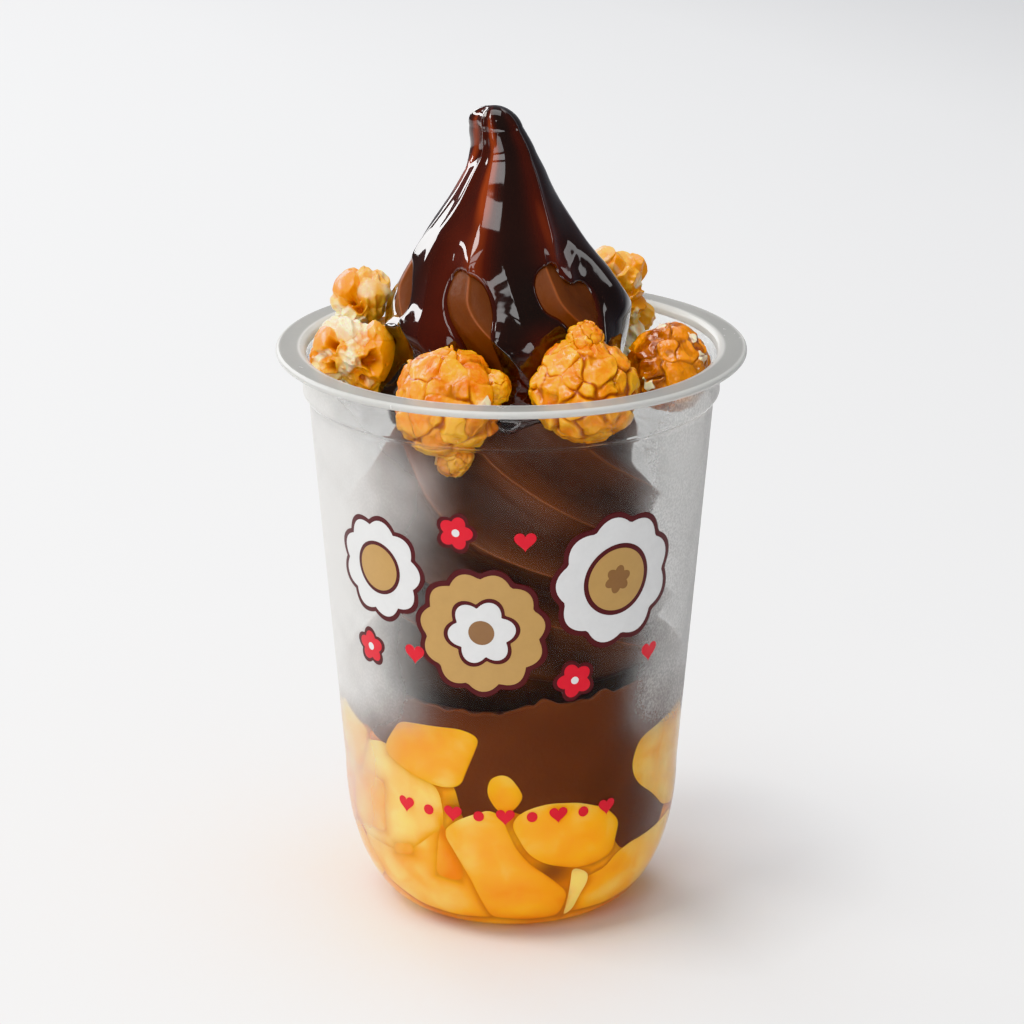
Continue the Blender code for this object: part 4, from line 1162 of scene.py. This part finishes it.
def add_dice(name, corners, tone, over, order):
    """A dice of mango pressed flat on the wall: its outline, rounded at the corners, is
    filled to its middle at the wall, and carried inward for its sides and back.

    tone holds its tone and the change over 10 mm to the right and up, partly painted light and
    shade. over holds the outlines of the dice on top of it, which cast painted shade on it.
    """
    corners = np.array(corners, dtype=float)
    middle = corners.mean(axis=0)
    reach = float(inner_radius(middle[1]))
    outline = dice_outline(corners, middle, reach)
    face = [(share, 0.0) for share in np.linspace(0.97, 0.04, fine(26))]
    shares, depths = np.array(DICE_ROWS + face).T[:, :, None]
    along, up = outline[:, 0] * shares, outline[:, 1] * shares
    azimuth = middle[0] + np.degrees(along / reach)
    height = np.clip(middle[1] + up, MANGO_FLOOR + 0.2, None)
    lift = DICE_LIFT + DICE_STEP * order
    points = place_on_wall(azimuth, height, depths * DICE_DEPTH - lift)
    base, across, rise = tone
    size = np.hypot(outline[:, 0], outline[:, 1])
    # Painted light and shade along the outline: paler at the upper left edges, deeper at the lower
    # right.
    low_right = (0.5 * outline[:, 0] - 0.85 * outline[:, 1]) / size
    edge = np.exp(-size * (1 - shares) / 1.5) * (0.05 + 0.20 * low_right)
    # Painted shade from the dice on top: deeper tone and browner near their outlines.
    shade = shade_under(azimuth, height, over)
    # The sides and back are deeper, as painted shade.
    value = base + 0.1 * (across * along + rise * up) + 0.55 * smooth_step(0.0, 0.06, depths)
    value = value + edge + 0.10 * waves(points, 9.0, 300 + order) + 0.34 * shade
    poles = [place_on_wall(*middle, DICE_DEPTH), place_on_wall(*middle, -lift)]
    return surface(name, points, poles, {"tone": np.clip(value, 0, 1),
                                         "brown": np.clip(0.45 * shade - 0.12, 0, 1)})


def add_pulp(outlines):
    """Juice and pulp round the dice: fills the foot of the cup out to the wall."""
    azimuth = full_turn(340)
    top = mango_top(azimuth, 1.0)
    height = PULP_FOOT + (top - PULP_FOOT) * np.linspace(0, 1, fine(100))[:, None] ** 1.2
    lid = [ring_points(inner_radius(top) * share, azimuth, mango_top(azimuth, share))
           for share in PULP_LID]
    points = ring_points(inner_radius(height) + PULP_SINK, azimuth, height)
    points = np.concatenate([points, lid])
    shade = np.zeros(points.shape[:2])
    shade[:len(height)] = shade_under(azimuth + 0 * height, height, outlines)
    # Painted shade near the dice's outlines: deeper and browner juice.
    tone = 0.62 + 0.2 * waves(points, 12.0, 51) + 0.35 * shade
    brown = np.clip(0.9 * shade - 0.35, 0, 0.45)
    for at, level, wide, tall, amount in BROWN_POCKETS:
        brown = np.maximum(brown, amount * spot(azimuth, points[..., 2], at, level, wide, tall))
    return surface("mango_pulp", points, [(0, 0, PULP_FOOT), (0, 0, MANGO_MIDDLE_HEIGHT)],
                   {"tone": np.clip(tone, 0, 1), "brown": np.clip(brown, 0, 1)})


# ---------------------------------------------------------------- popcorn

# Plates of the round popcorns that face the front: share of the radius sideways and up, size,
# lift, and tone from 0 light to 1 dark. The tones are partly the caramel's own and partly
# painted light and shade: popcorn 3 is darkened on its left as painted shade and lightened on
# its right as painted highlight.
FRONT_PLATES = {
    1: [(-0.40, 0.62, 0.14, 0.00, 0.4), (0.07, 0.87, 0.03, 0.01, 0.5), (0.36, 0.84, 0.05, 0.04, 0.7),
        (0.07, 0.58, 0.13, 0.01, 0.3), (0.55, 0.53, 0.10, -0.02, 0.8), (-0.17, 0.20, 0.08, 0.02, 0.5),
        (0.27, 0.21, 0.05, 0.01, 0.55), (0.62, 0.14, 0.10, 0.0, 0.6), (-0.56, 0.28, 0.05, 0.01, 0.35),
        (-0.78, 0.22, 0.04, 0.0, 0.45), (0.90, 0.20, 0.09, -0.01, 0.7), (-0.19, -0.02, 0.05, -0.05, 0.9),
        (0.18, -0.08, 0.04, -0.01, 0.5), (-0.84, -0.42, 0.13, 0.0, 0.5), (-0.53, -0.40, 0.13, 0.01, 0.6),
        (-0.20, -0.40, 0.03, 0.01, 0.5), (0.10, -0.55, 0.16, 0.05, 0.15), (0.56, -0.45, 0.12, 0.0, 0.6),
        (-0.22, -0.72, 0.06, -0.02, 0.6), (0.55, -0.76, 0.09, 0.02, 0.4)],
    2: [(0.08, 0.02, 0.00, 0.03, 0.35), (-0.30, 0.24, 0.10, 0.02, 0.5), (-0.38, -0.02, 0.05, 0.01, 0.45),
        (-0.14, 0.40, 0.03, 0.01, 0.4), (0.33, 0.36, 0.18, 0.0, 0.45), (0.76, 0.20, 0.06, 0.01, 0.6),
        (0.50, 0.02, 0.06, 0.0, 0.5), (-0.14, -0.36, 0.14, 0.03, 0.4), (0.56, -0.34, 0.12, 0.03, 0.45),
        (0.12, -0.66, 0.16, -0.02, 0.6), (-0.70, -0.58, 0.07, 0.05, 0.5), (0.70, -0.64, 0.10, 0.04, 0.5),
        (-0.48, 0.56, 0.22, 0.0, 0.2), (-0.40, 0.83, 0.05, 0.02, 0.5), (0.0, 0.86, 0.08, 0.0, 0.45),
        (0.32, 0.74, 0.08, 0.01, 0.5), (0.66, 0.64, 0.07, 0.02, 0.7), (-0.86, 0.22, 0.06, 0.01, 0.4)],
    3: [(0.28, -0.22, 0.24, 0.02, -0.5), (0.05, 0.42, 0.10, 0.04, 0.0), (0.43, 0.34, 0.12, 0.02, 0.1),
        (0.84, 0.04, 0.10, 0.02, 0.3), (-0.57, 0.42, 0.15, 0.0, 0.9), (-0.50, -0.08, 0.14, 0.02, 0.8),
        (-0.34, -0.45, 0.10, 0.03, 0.6), (-0.90, 0.10, 0.08, 0.0, 0.9), (-0.15, 0.74, 0.08, 0.0, 0.7)],
}
# Look of each round popcorn: number of plates, how far they have parted, and the pale bits
# on it, placed as the plates are.
MUSHROOM_LOOKS = {
    1: (80, 0.80, ((0.66, -0.08),)),
    2: (76, 0.95, ()),
    3: (46, 0.45, ((-0.17, 0.92), (-0.93, 0.36), (0.80, 0.22), (-0.45, -0.42), (0.6, 0.7))),
    7: (78, 0.75, ()),
}
BUMP_LOOK = (16, 0.9, ())
BUMP_FULLNESS = 1.1
# Lobes and pits of the burst popcorns on the side that faces the front: x, y, z, radius,
# and for a lobe how much caramel and how much white shows.
BURST_LOBES = {
    4: [(-37.4, -8, 121.2, 2.8, 0.75, 0.1), (-36.5, -8, 115.2, 3.2, 0.2, 0.6),
        (-32.4, -9, 118.0, 3.5, 0.2, 0.9), (-26.2, -8, 117.2, 4.6, 0.85, 0.0),
        (-29.1, -8, 112.4, 3.2, 0.6, 0.2), (-26.4, -7, 121.6, 3.0, 0.6, 0.1),
        (-32.6, -7, 122.6, 2.8, 0.1, 1.0)],
    5: [(-33.6, 10, 127.4, 3.0, 0.9, 0.0), (-28.0, 10, 125.8, 3.4, 0.5, 0.35),
        (-32.2, 10, 120.8, 3.4, 0.0, 1.0), (-34.4, 10, 124.0, 2.4, 0.3, 0.6),
        (-30.0, 10, 122.8, 2.6, 0.3, 0.6)],
    6: [(18.8, 19, 131.0, 2.6, 0.5, 0.15), (20.6, 19, 128.6, 2.8, 0.8, 0.0),
        (23.2, 19, 126.2, 3.0, 0.6, 0.1), (25.0, 19, 121.8, 3.0, 0.9, 0.0),
        (23.8, 19, 119.0, 2.6, 0.2, 0.4)],
}
BURST_PITS = {
    4: [(-37.3, -13, 122.2, 2.1), (-37.0, -13, 116.2, 1.4), (-27.0, -13, 117.6, 2.6),
        (-28.9, -13, 112.8, 1.2)],
    5: [(-33.8, 5, 127.2, 1.2), (-31.0, 5, 124.6, 1.3)],
    6: [(22.0, 14, 123.4, 1.4)],
}
PLATE_SHAKE = 0.16             # how unevenly the plates are spread
PLATE_SIZES = (0, 0.12)        # least and greatest
PLATE_LIFTS = (-0.04, 0.03)
PLATE_ROOM = 0.27              # angle kept free round a given plate, besides its size
PLATE_TILT = 0.20
GROOVE_BEND = 0.045            # how far the grooves wander
MUSHROOM_BODY = 0.91           # reach of the lumpy ball, as a share of the ball's radius
PLATE_LIFT = 0.058             # of a plate over it, before the plate's own lift and tilt
PLATE_LIFT_MOST = 0.13
MUSHROOM_MOST = 1.04           # greatest reach of a plate
CORE_LOBE = (0.62, 0.4, 0.5)   # size, caramel and white of the lobe in the middle of a ball
SEEDED_LOBES = 9               # on each ball
LOBE_SIZES = (0.34, 0.48)      # as shares of the ball's radius
FRONT_SINK = 0.72              # seeded lobes in front lie deeper, behind the given ones
CREASE_SHARPNESS = 2.5         # of the form between two lobes
TINT_SHARPNESS = 3.0           # of the change of colour there
PIT_DEPTH = 0.8                # as a share of the pit's radius
PIT_RIM = 0.22                 # height of its raised rim, likewise
BURST_MOST = 1.02              # greatest reach of a burst popcorn, as a share of its balls


def fibonacci_directions(count, jitter, random):
    """Directions spread evenly over a sphere, then shaken a little."""
    k = np.arange(count) + 0.5
    polar = np.arccos(1 - 2 * k / count)
    turn = math.pi * (1 + math.sqrt(5)) * k
    spread = np.stack([np.cos(turn) * np.sin(polar), np.sin(turn) * np.sin(polar),
                       np.cos(polar)], axis=1)
    spread += random.normal(0, jitter, spread.shape)
    return spread / np.linalg.norm(spread, axis=1, keepdims=True)


def sphere_grid(rows, columns):
    """Directions on a grid of latitude and longitude, from the lower pole up."""
    polar = np.linspace(math.pi, 0, rows + 2)[1:-1, None]
    turn = np.linspace(0, 2 * math.pi, columns, endpoint=False)
    return np.stack([np.sin(polar) * np.cos(turn), np.sin(polar) * np.sin(turn),
                     np.cos(polar) + 0 * turn], axis=-1)


def angle_to(directions, way):
    """Angle in radians between each direction and one way."""
    return np.arccos(np.clip(directions @ way, -1, 1))


def seen_from_front(sideways, up):
    """Direction that the photograph shows this share of the radius sideways and up."""
    down = math.radians(CAMERA_DOWN)
    toward = math.sqrt(max(1 - sideways ** 2 - up ** 2, 0.0))
    way = np.array([sideways, up * math.sin(down) - toward * math.cos(down),
                    up * math.cos(down) + toward * math.sin(down)])
    return way / np.linalg.norm(way)


def popcorn_plates(count, given, random):
    """Direction, size, lift and tone of each plate: the given ones and seeded ones between."""
    ways = fibonacci_directions(count, PLATE_SHAKE, random)
    looks = np.column_stack([random.uniform(*PLATE_SIZES, count), random.uniform(*PLATE_LIFTS, count),
                             random.normal(0.5, 0.2, count)])
    for sideways, up, size, *_ in given:
        apart = angle_to(ways, seen_from_front(sideways, up)) > PLATE_ROOM + size
        ways, looks = ways[apart], looks[apart]
    if given:
        ways = np.vstack([ways, [seen_from_front(s, u) for s, u, *_ in given]])
        looks = np.vstack([looks, [look for _, _, *look in given]])
    return ways, *looks.T


def two_nearest(directions, ways, sizes):
    """Nearest and second nearest plate of each direction, by the angle less the plate's
    size, and how much nearer the first is."""
    angles = np.arccos(np.clip(directions @ ways.T, -1, 1)) - sizes
    order = np.argpartition(angles, 1, axis=-1)[..., :2]
    first, second = np.moveaxis(np.take_along_axis(angles, order, axis=-1), -1, 0)
    nearest = np.where(first > second, order[..., 1], order[..., 0])
    return nearest, order.sum(axis=-1) - nearest, np.abs(second - first)


def pale_bits(directions, bits):
    """1 in the small pale bits at the given places, and 0 round them."""
    pale = np.zeros(directions.shape[:-1])
    for bit in bits:
        off = angle_to(directions, seen_from_front(*bit)) * (1 + 0.3 * waves(directions, 0.2, 3))
        pale = np.maximum(pale, smooth_step(0.16, 0.10, off))
    return pale


def mushroom_flakes(directions, look, given, random):
    """Reach of a round popcorn as a share of its ball, and its groove, tone and pale fields.

    A lumpy ball carries plates of unlike size, each lifted and tilted a little and
    bevelled to the grooves between them. Where they haven't parted, folds run instead.
    """
    count, parting, bits = look
    ways, sizes, lifts, tones = popcorn_plates(count, given, random)
    seed = int(random.integers(1000))
    bent = np.stack([waves(directions, 0.5, seed + k) for k in (6, 7, 8)], axis=-1)
    bent = directions + GROOVE_BEND * bent
    bent /= np.linalg.norm(bent, axis=-1, keepdims=True)
    nearest, other, gap = two_nearest(bent, ways, sizes)
    grooves = random.uniform(0.0, 1.0, (len(ways), len(ways)))
    depth = np.maximum(grooves, grooves.T)[nearest, other]
    inside = smooth_step(0.0, 0.05 + 0.10 * depth, gap)
    parted = smooth_step(-0.7, 0.7, waves(directions, 1.1, seed) + 2.2 * parting - 1.1)
    parted = parted * (0.15 + 0.85 * smooth_step(0.35, 0.75, depth))
    tilt = random.normal(0, PLATE_TILT, (len(ways), 3))[nearest]
    lean = np.sum(tilt * (directions - ways[nearest]), axis=-1)
    plate = inside * np.clip(PLATE_LIFT + lifts[nearest] + lean, 0.0, PLATE_LIFT_MOST)
    fold = 1 - np.abs(waves(directions, 0.55, seed + 1, 10))
    lumps = 0.034 * waves(directions, 1.2, seed + 2) + 0.020 * waves(directions, 0.4, seed + 3)
    pale = pale_bits(directions, bits)
    reach = MUSHROOM_BODY + lumps + plate * (0.35 + 0.65 * parted) + 0.03 * fold * (1 - parted)
    reach = reach + 0.004 * waves(directions, 0.12, seed + 4, 24) + 0.05 * pale
    # Grooves and the valleys between folds are darker: deeper caramel and painted shade.
    groove = (1 - inside) * (0.25 + 0.75 * parted) + 0.5 * (1 - parted) * smooth_step(0.5, 0.0, fold)
    # The plates' bevels are paler, as painted highlight.
    bevel = np.exp(-((inside - 0.75) / 0.25) ** 2) * parted
    tone = 0.5 + (tones[nearest] - 0.5) * inside - 0.3 * bevel
    tone = tone + 0.16 * waves(directions, 0.6, seed + 5)
    return np.minimum(reach, MUSHROOM_MOST), groove, tone, pale


def ball_exit(directions, centre, radius):
    """Distance along each direction to the far side of a ball, from the origin."""
    along = directions @ centre
    under = along ** 2 - centre @ centre + radius ** 2
    return np.where(under > 0, along + np.sqrt(np.maximum(under, 0)), 0.0)


def burst_lobes(balls, number, random):
    """Centre, size, caramel and white of each lobe: one in the middle of each ball, the given
    ones, and seeded ones that touch the ball from inside."""
    core, *core_look = CORE_LOBE
    lobes = [(ball[:3], core * ball[3], *core_look) for ball in balls]
    for *place, size, caramel, white in BURST_LOBES[number]:
        lobes.append((np.array(place), size, caramel, white))
    for ball in balls:
        for way in fibonacci_directions(SEEDED_LOBES, 0.25, random):
            size = random.uniform(*LOBE_SIZES) * ball[3]
            sunk = FRONT_SINK if way[1] < -0.1 else 1.0
            lobes.append((ball[:3] + sunk * way * (ball[3] - size), size,
                          random.uniform(0.1, 1.0), random.choice([0.0, 0.2, 0.8])))
    return lobes


def burst_flakes(directions, origin, balls, number, random):
    """Reach of a burst popcorn, and its groove, tone and pale fields.

    Puffed lobes of unlike size meet in creases, and pits with raised rims are pressed in
    where the flake curls.
    """
    lobes = burst_lobes(balls, number, random)
    exits = np.array([ball_exit(directions, centre - origin, size) for centre, size, *_ in lobes])
    reach = soft_max(exits, CREASE_SHARPNESS)
    weight = np.exp(TINT_SHARPNESS * (exits - exits.max(axis=0)))
    weight /= weight.sum(axis=0)
    tone, pale = (np.tensordot([lobe[k] for lobe in lobes], weight, 1) for k in (2, 3))
    two = np.partition(exits, -2, axis=0)
    # Creases between the lobes are darker, as painted shade.
    groove = 0.45 * np.exp(-((two[-1] - two[-2]) / 0.35) ** 2)
    for *place, size in BURST_PITS[number]:
        centre = np.array(place) - origin
        far = np.linalg.norm(centre)
        off = angle_to(directions, centre / far) * far / size
        off = off * (1 + 0.25 * waves(directions, 0.35, 61))
        pit = smooth_step(1.0, 0.45, off)
        rim = np.exp(-((off - 1.15) / 0.3) ** 2)
        reach = reach + size * (PIT_RIM * rim - PIT_DEPTH * pit)
        # Pits are darker, and deeper and less white round them, as painted shade.
        groove = np.maximum(groove, 1.1 * pit)
        around_it = np.exp(-(off / 1.9) ** 2)
        tone, pale = tone + 0.5 * around_it, pale * (1 - 0.9 * around_it)
    seed = int(random.integers(1000))
    crumple = 1 - np.abs(waves(directions, 0.45, seed, 10))
    reach = reach * (0.95 + 0.09 * crumple + 0.016 * waves(directions, 0.18, seed + 1))
    pale = pale + 0.25 * waves(directions, 0.5, seed + 2)
    limit = np.max([ball_exit(directions, ball[:3] - origin, ball[3]) for ball in balls], axis=0)
    return np.minimum(reach, limit * BURST_MOST), groove, tone, pale


def add_flakes(name, origin, directions, reach, fields):
    """Closed mesh whose points lie at the reach along each direction from the origin."""
    points = origin + directions * reach[..., None]
    poles = [points[0].mean(axis=0), points[-1].mean(axis=0)]
    return surface(name, points, poles, {label: np.clip(values, 0, 1) for label, values
                                         in zip(("groove", "tone", "pale"), fields)})


def add_popcorn(number, kind, balls):
    """The pieces of one popcorn: a burst one is one mesh, and a round one has its bumps apart."""
    random = np.random.default_rng(100 + number)
    balls = np.array(balls, dtype=float)
    directions = sphere_grid(fine(190), fine(300))
    name = f"popcorn_{number}_flakes"
    if kind == BUTTERFLY:
        origin = balls[:, :3].mean(axis=0)
        reach, *fields = burst_flakes(directions, origin, balls, number, random)
        return [add_flakes(name, origin, directions, reach, fields)]
    given = FRONT_PLATES.get(number, ())
    reach, *fields = mushroom_flakes(directions, MUSHROOM_LOOKS[number], given, random)
    pieces = [add_flakes(name, balls[0][:3], directions, reach * balls[0][3], fields)]
    directions = sphere_grid(fine(80), fine(120))
    for index, ball in enumerate(balls[1:]):
        reach, *fields = mushroom_flakes(directions, BUMP_LOOK, (), random)
        pieces.append(add_flakes(f"popcorn_{number}_bump_{index}", ball[:3], directions,
                                 reach * ball[3] * BUMP_FULLNESS, fields))
    return pieces


# ---------------------------------------------------------------- camera, light, floor

CAMERA_DISTANCE = 900.0
CAMERA_LENS = 155.06
SENSOR_WIDTH = 36.0
CAMERA_TARGET = (0.14, 0.0, 82.11)
DAYLIGHT = (1.0, 1.0, 1.0)
KEY_LIGHT = (1.0, 0.97, 0.93)
SKY = (0.9, 0.93, 1.0)
SKY_STRENGTH = 0.34
# Softboxes: place, width and height, power, height on the axis that they face, and colour.
# The three windows are the panes of one, which the sauce mirrors.
SOFTBOXES = {
    "key": ((-370, -210, 1063), (500, 500), 7.5, 90, KEY_LIGHT),
    "left_window": ((-1056, 448, 620), (600, 180), 4.2, 148, DAYLIGHT),
    "window_0": ((-250, -968, 435), (330, 140), 0.4, 148, DAYLIGHT),
    "window_1": ((-250, -968, 723), (400, 262), 1.2, 148, DAYLIGHT),
    "window_2": ((-250, -968, 1193), (500, 324), 1.8, 148, DAYLIGHT),
    "right_window": ((1056, 148, 640), (220, 260), 0.4, 148, DAYLIGHT),
    "low": ((-200, -1100, 60), (1400, 260), 3.6, 30, DAYLIGHT),
    "top": ((0, 250, 1500), (900, 900), 6.0, 90, DAYLIGHT),
    "back": ((-500, 900, 500), (500, 500), 5.0, 90, DAYLIGHT),
}
FLOOR_HALF = 6.0               # half of the floor's side, in metres
FLOOR_TONES = ((0.77, 0.77, 0.77), (0.80, 0.80, 0.80))


def add_camera():
    """The photograph's view: a long lens that looks down a little."""
    data = bpy.data.cameras.new("camera")
    data.sensor_width = SENSOR_WIDTH
    data.lens = CAMERA_LENS
    camera = bpy.data.objects.new("camera", data)
    bpy.context.scene.collection.objects.link(camera)
    down = math.radians(CAMERA_DOWN)
    back = CAMERA_DISTANCE * np.array([0, -math.cos(down), math.sin(down)])
    camera.location = (CAMERA_TARGET + back) * MM
    camera.rotation_euler = (math.radians(90 - CAMERA_DOWN), 0.0, 0.0)
    bpy.context.scene.camera = camera


def add_softbox(name, place, size, power, level, tint):
    """A rectangular lamp turned to the point at that level on the cup's axis."""
    data = bpy.data.lights.new(name, "AREA")
    data.shape = "RECTANGLE"
    data.size, data.size_y = size[0] * MM, size[1] * MM
    data.energy = power
    data.color = tint
    lamp = bpy.data.objects.new(name, data)
    bpy.context.scene.collection.objects.link(lamp)
    way = np.array([0.0, 0.0, level]) - place
    way /= np.linalg.norm(way)
    lamp.location = np.array(place) * MM
    lamp.rotation_euler = (math.acos(-way[2]), 0.0, math.atan2(-way[0], way[1]))


def add_floor():
    """A plain pale floor, very large, with the faintest unevenness."""
    made, tree = new_material("pale_floor")
    principled(made, tree, {"Base Color": mix_colour(tree, mottle(tree, 6.0, 1.0), *FLOOR_TONES),
                            "Roughness": 0.6})
    half = FLOOR_HALF
    mesh = bpy.data.meshes.new("floor")
    mesh.from_pydata([(-half, -half, 0), (half, -half, 0), (half, half, 0), (-half, half, 0)], [],
                     [(0, 1, 2, 3)])
    mesh.materials.append(made)
    floor = bpy.data.objects.new("floor", mesh)
    bpy.context.scene.collection.objects.link(floor)


def add_studio():
    """Sky, softboxes and view transform."""
    scene = bpy.context.scene
    scene.world = bpy.data.worlds.new("studio")
    scene.world.use_nodes = True
    sky = scene.world.node_tree.nodes["Background"].inputs
    sky["Color"].default_value = (*SKY, 1.0)
    sky["Strength"].default_value = SKY_STRENGTH
    scene.view_settings.view_transform = "Khronos PBR Neutral"
    scene.view_settings.look = "None"
    scene.view_settings.exposure = 0.0
    for name, softbox in SOFTBOXES.items():
        add_softbox(name, *softbox)


# ---------------------------------------------------------------- the sundae


def main():
    """The studio, and every piece of the sundae with its material."""
    add_camera()
    add_studio()
    add_floor()
    clear = make_cup_plastic("clear_cup_plastic", CLEAR, CLEAR, 0.99, 0.03, 0.25)
    milky = make_cup_plastic("milky_rim_plastic", RIM_TINT, RIM_EDGE_HIGHLIGHT, 0.30, 0.20, 0.9)
    finish_piece(add_cup(clear, milky), None, "clear_cup", "cup")
    finish_piece(add_frost(), make_frost(), "clear_cup")
    add_print({name: make_ink(name, *look) for name, look in INKS.items()})
    swirl = make_ice_cream("chocolate_soft_ice", *SWIRL_ICE)
    pressed = make_ice_cream("chocolate_on_wall", *PRESSED_ICE)
    finish_piece(add_coil(), swirl, "ice_cream", "chocolate_ice_cream")
    finish_piece(add_base(), pressed, "ice_cream", "chocolate_ice_cream")
    finish_piece(add_sauce(), make_sauce(), "sauce", "chocolate_sauce")
    fruit = make_mango()
    dice = list(all_dice())
    outlines = [outline for outline, _ in dice]
    finish_piece(add_pulp(outlines), fruit, "mango", "mango_dice")
    for index, (outline, tone) in enumerate(dice):
        piece = add_dice(f"dice_{index + 1}", outline, tone, outlines[index + 1:], index)
        finish_piece(piece, fruit, "mango", "mango_dice")
    caramel = make_popcorn("caramel_popcorn", *CARAMEL)
    coats = {3: make_popcorn("toffee_popcorn", *TOFFEE)}
    butter = make_popcorn("pale_popcorn", *BUTTER)
    for number, (kind, balls) in enumerate(POPCORNS, start=1):
        coat = coats.get(number, caramel if kind == MUSHROOM else butter)
        slot = "caramel_popcorn" if kind == MUSHROOM else "pale_popcorn"
        for piece in add_popcorn(number, kind, balls):
            finish_piece(piece, coat, slot, f"popcorn_{number}")


main()
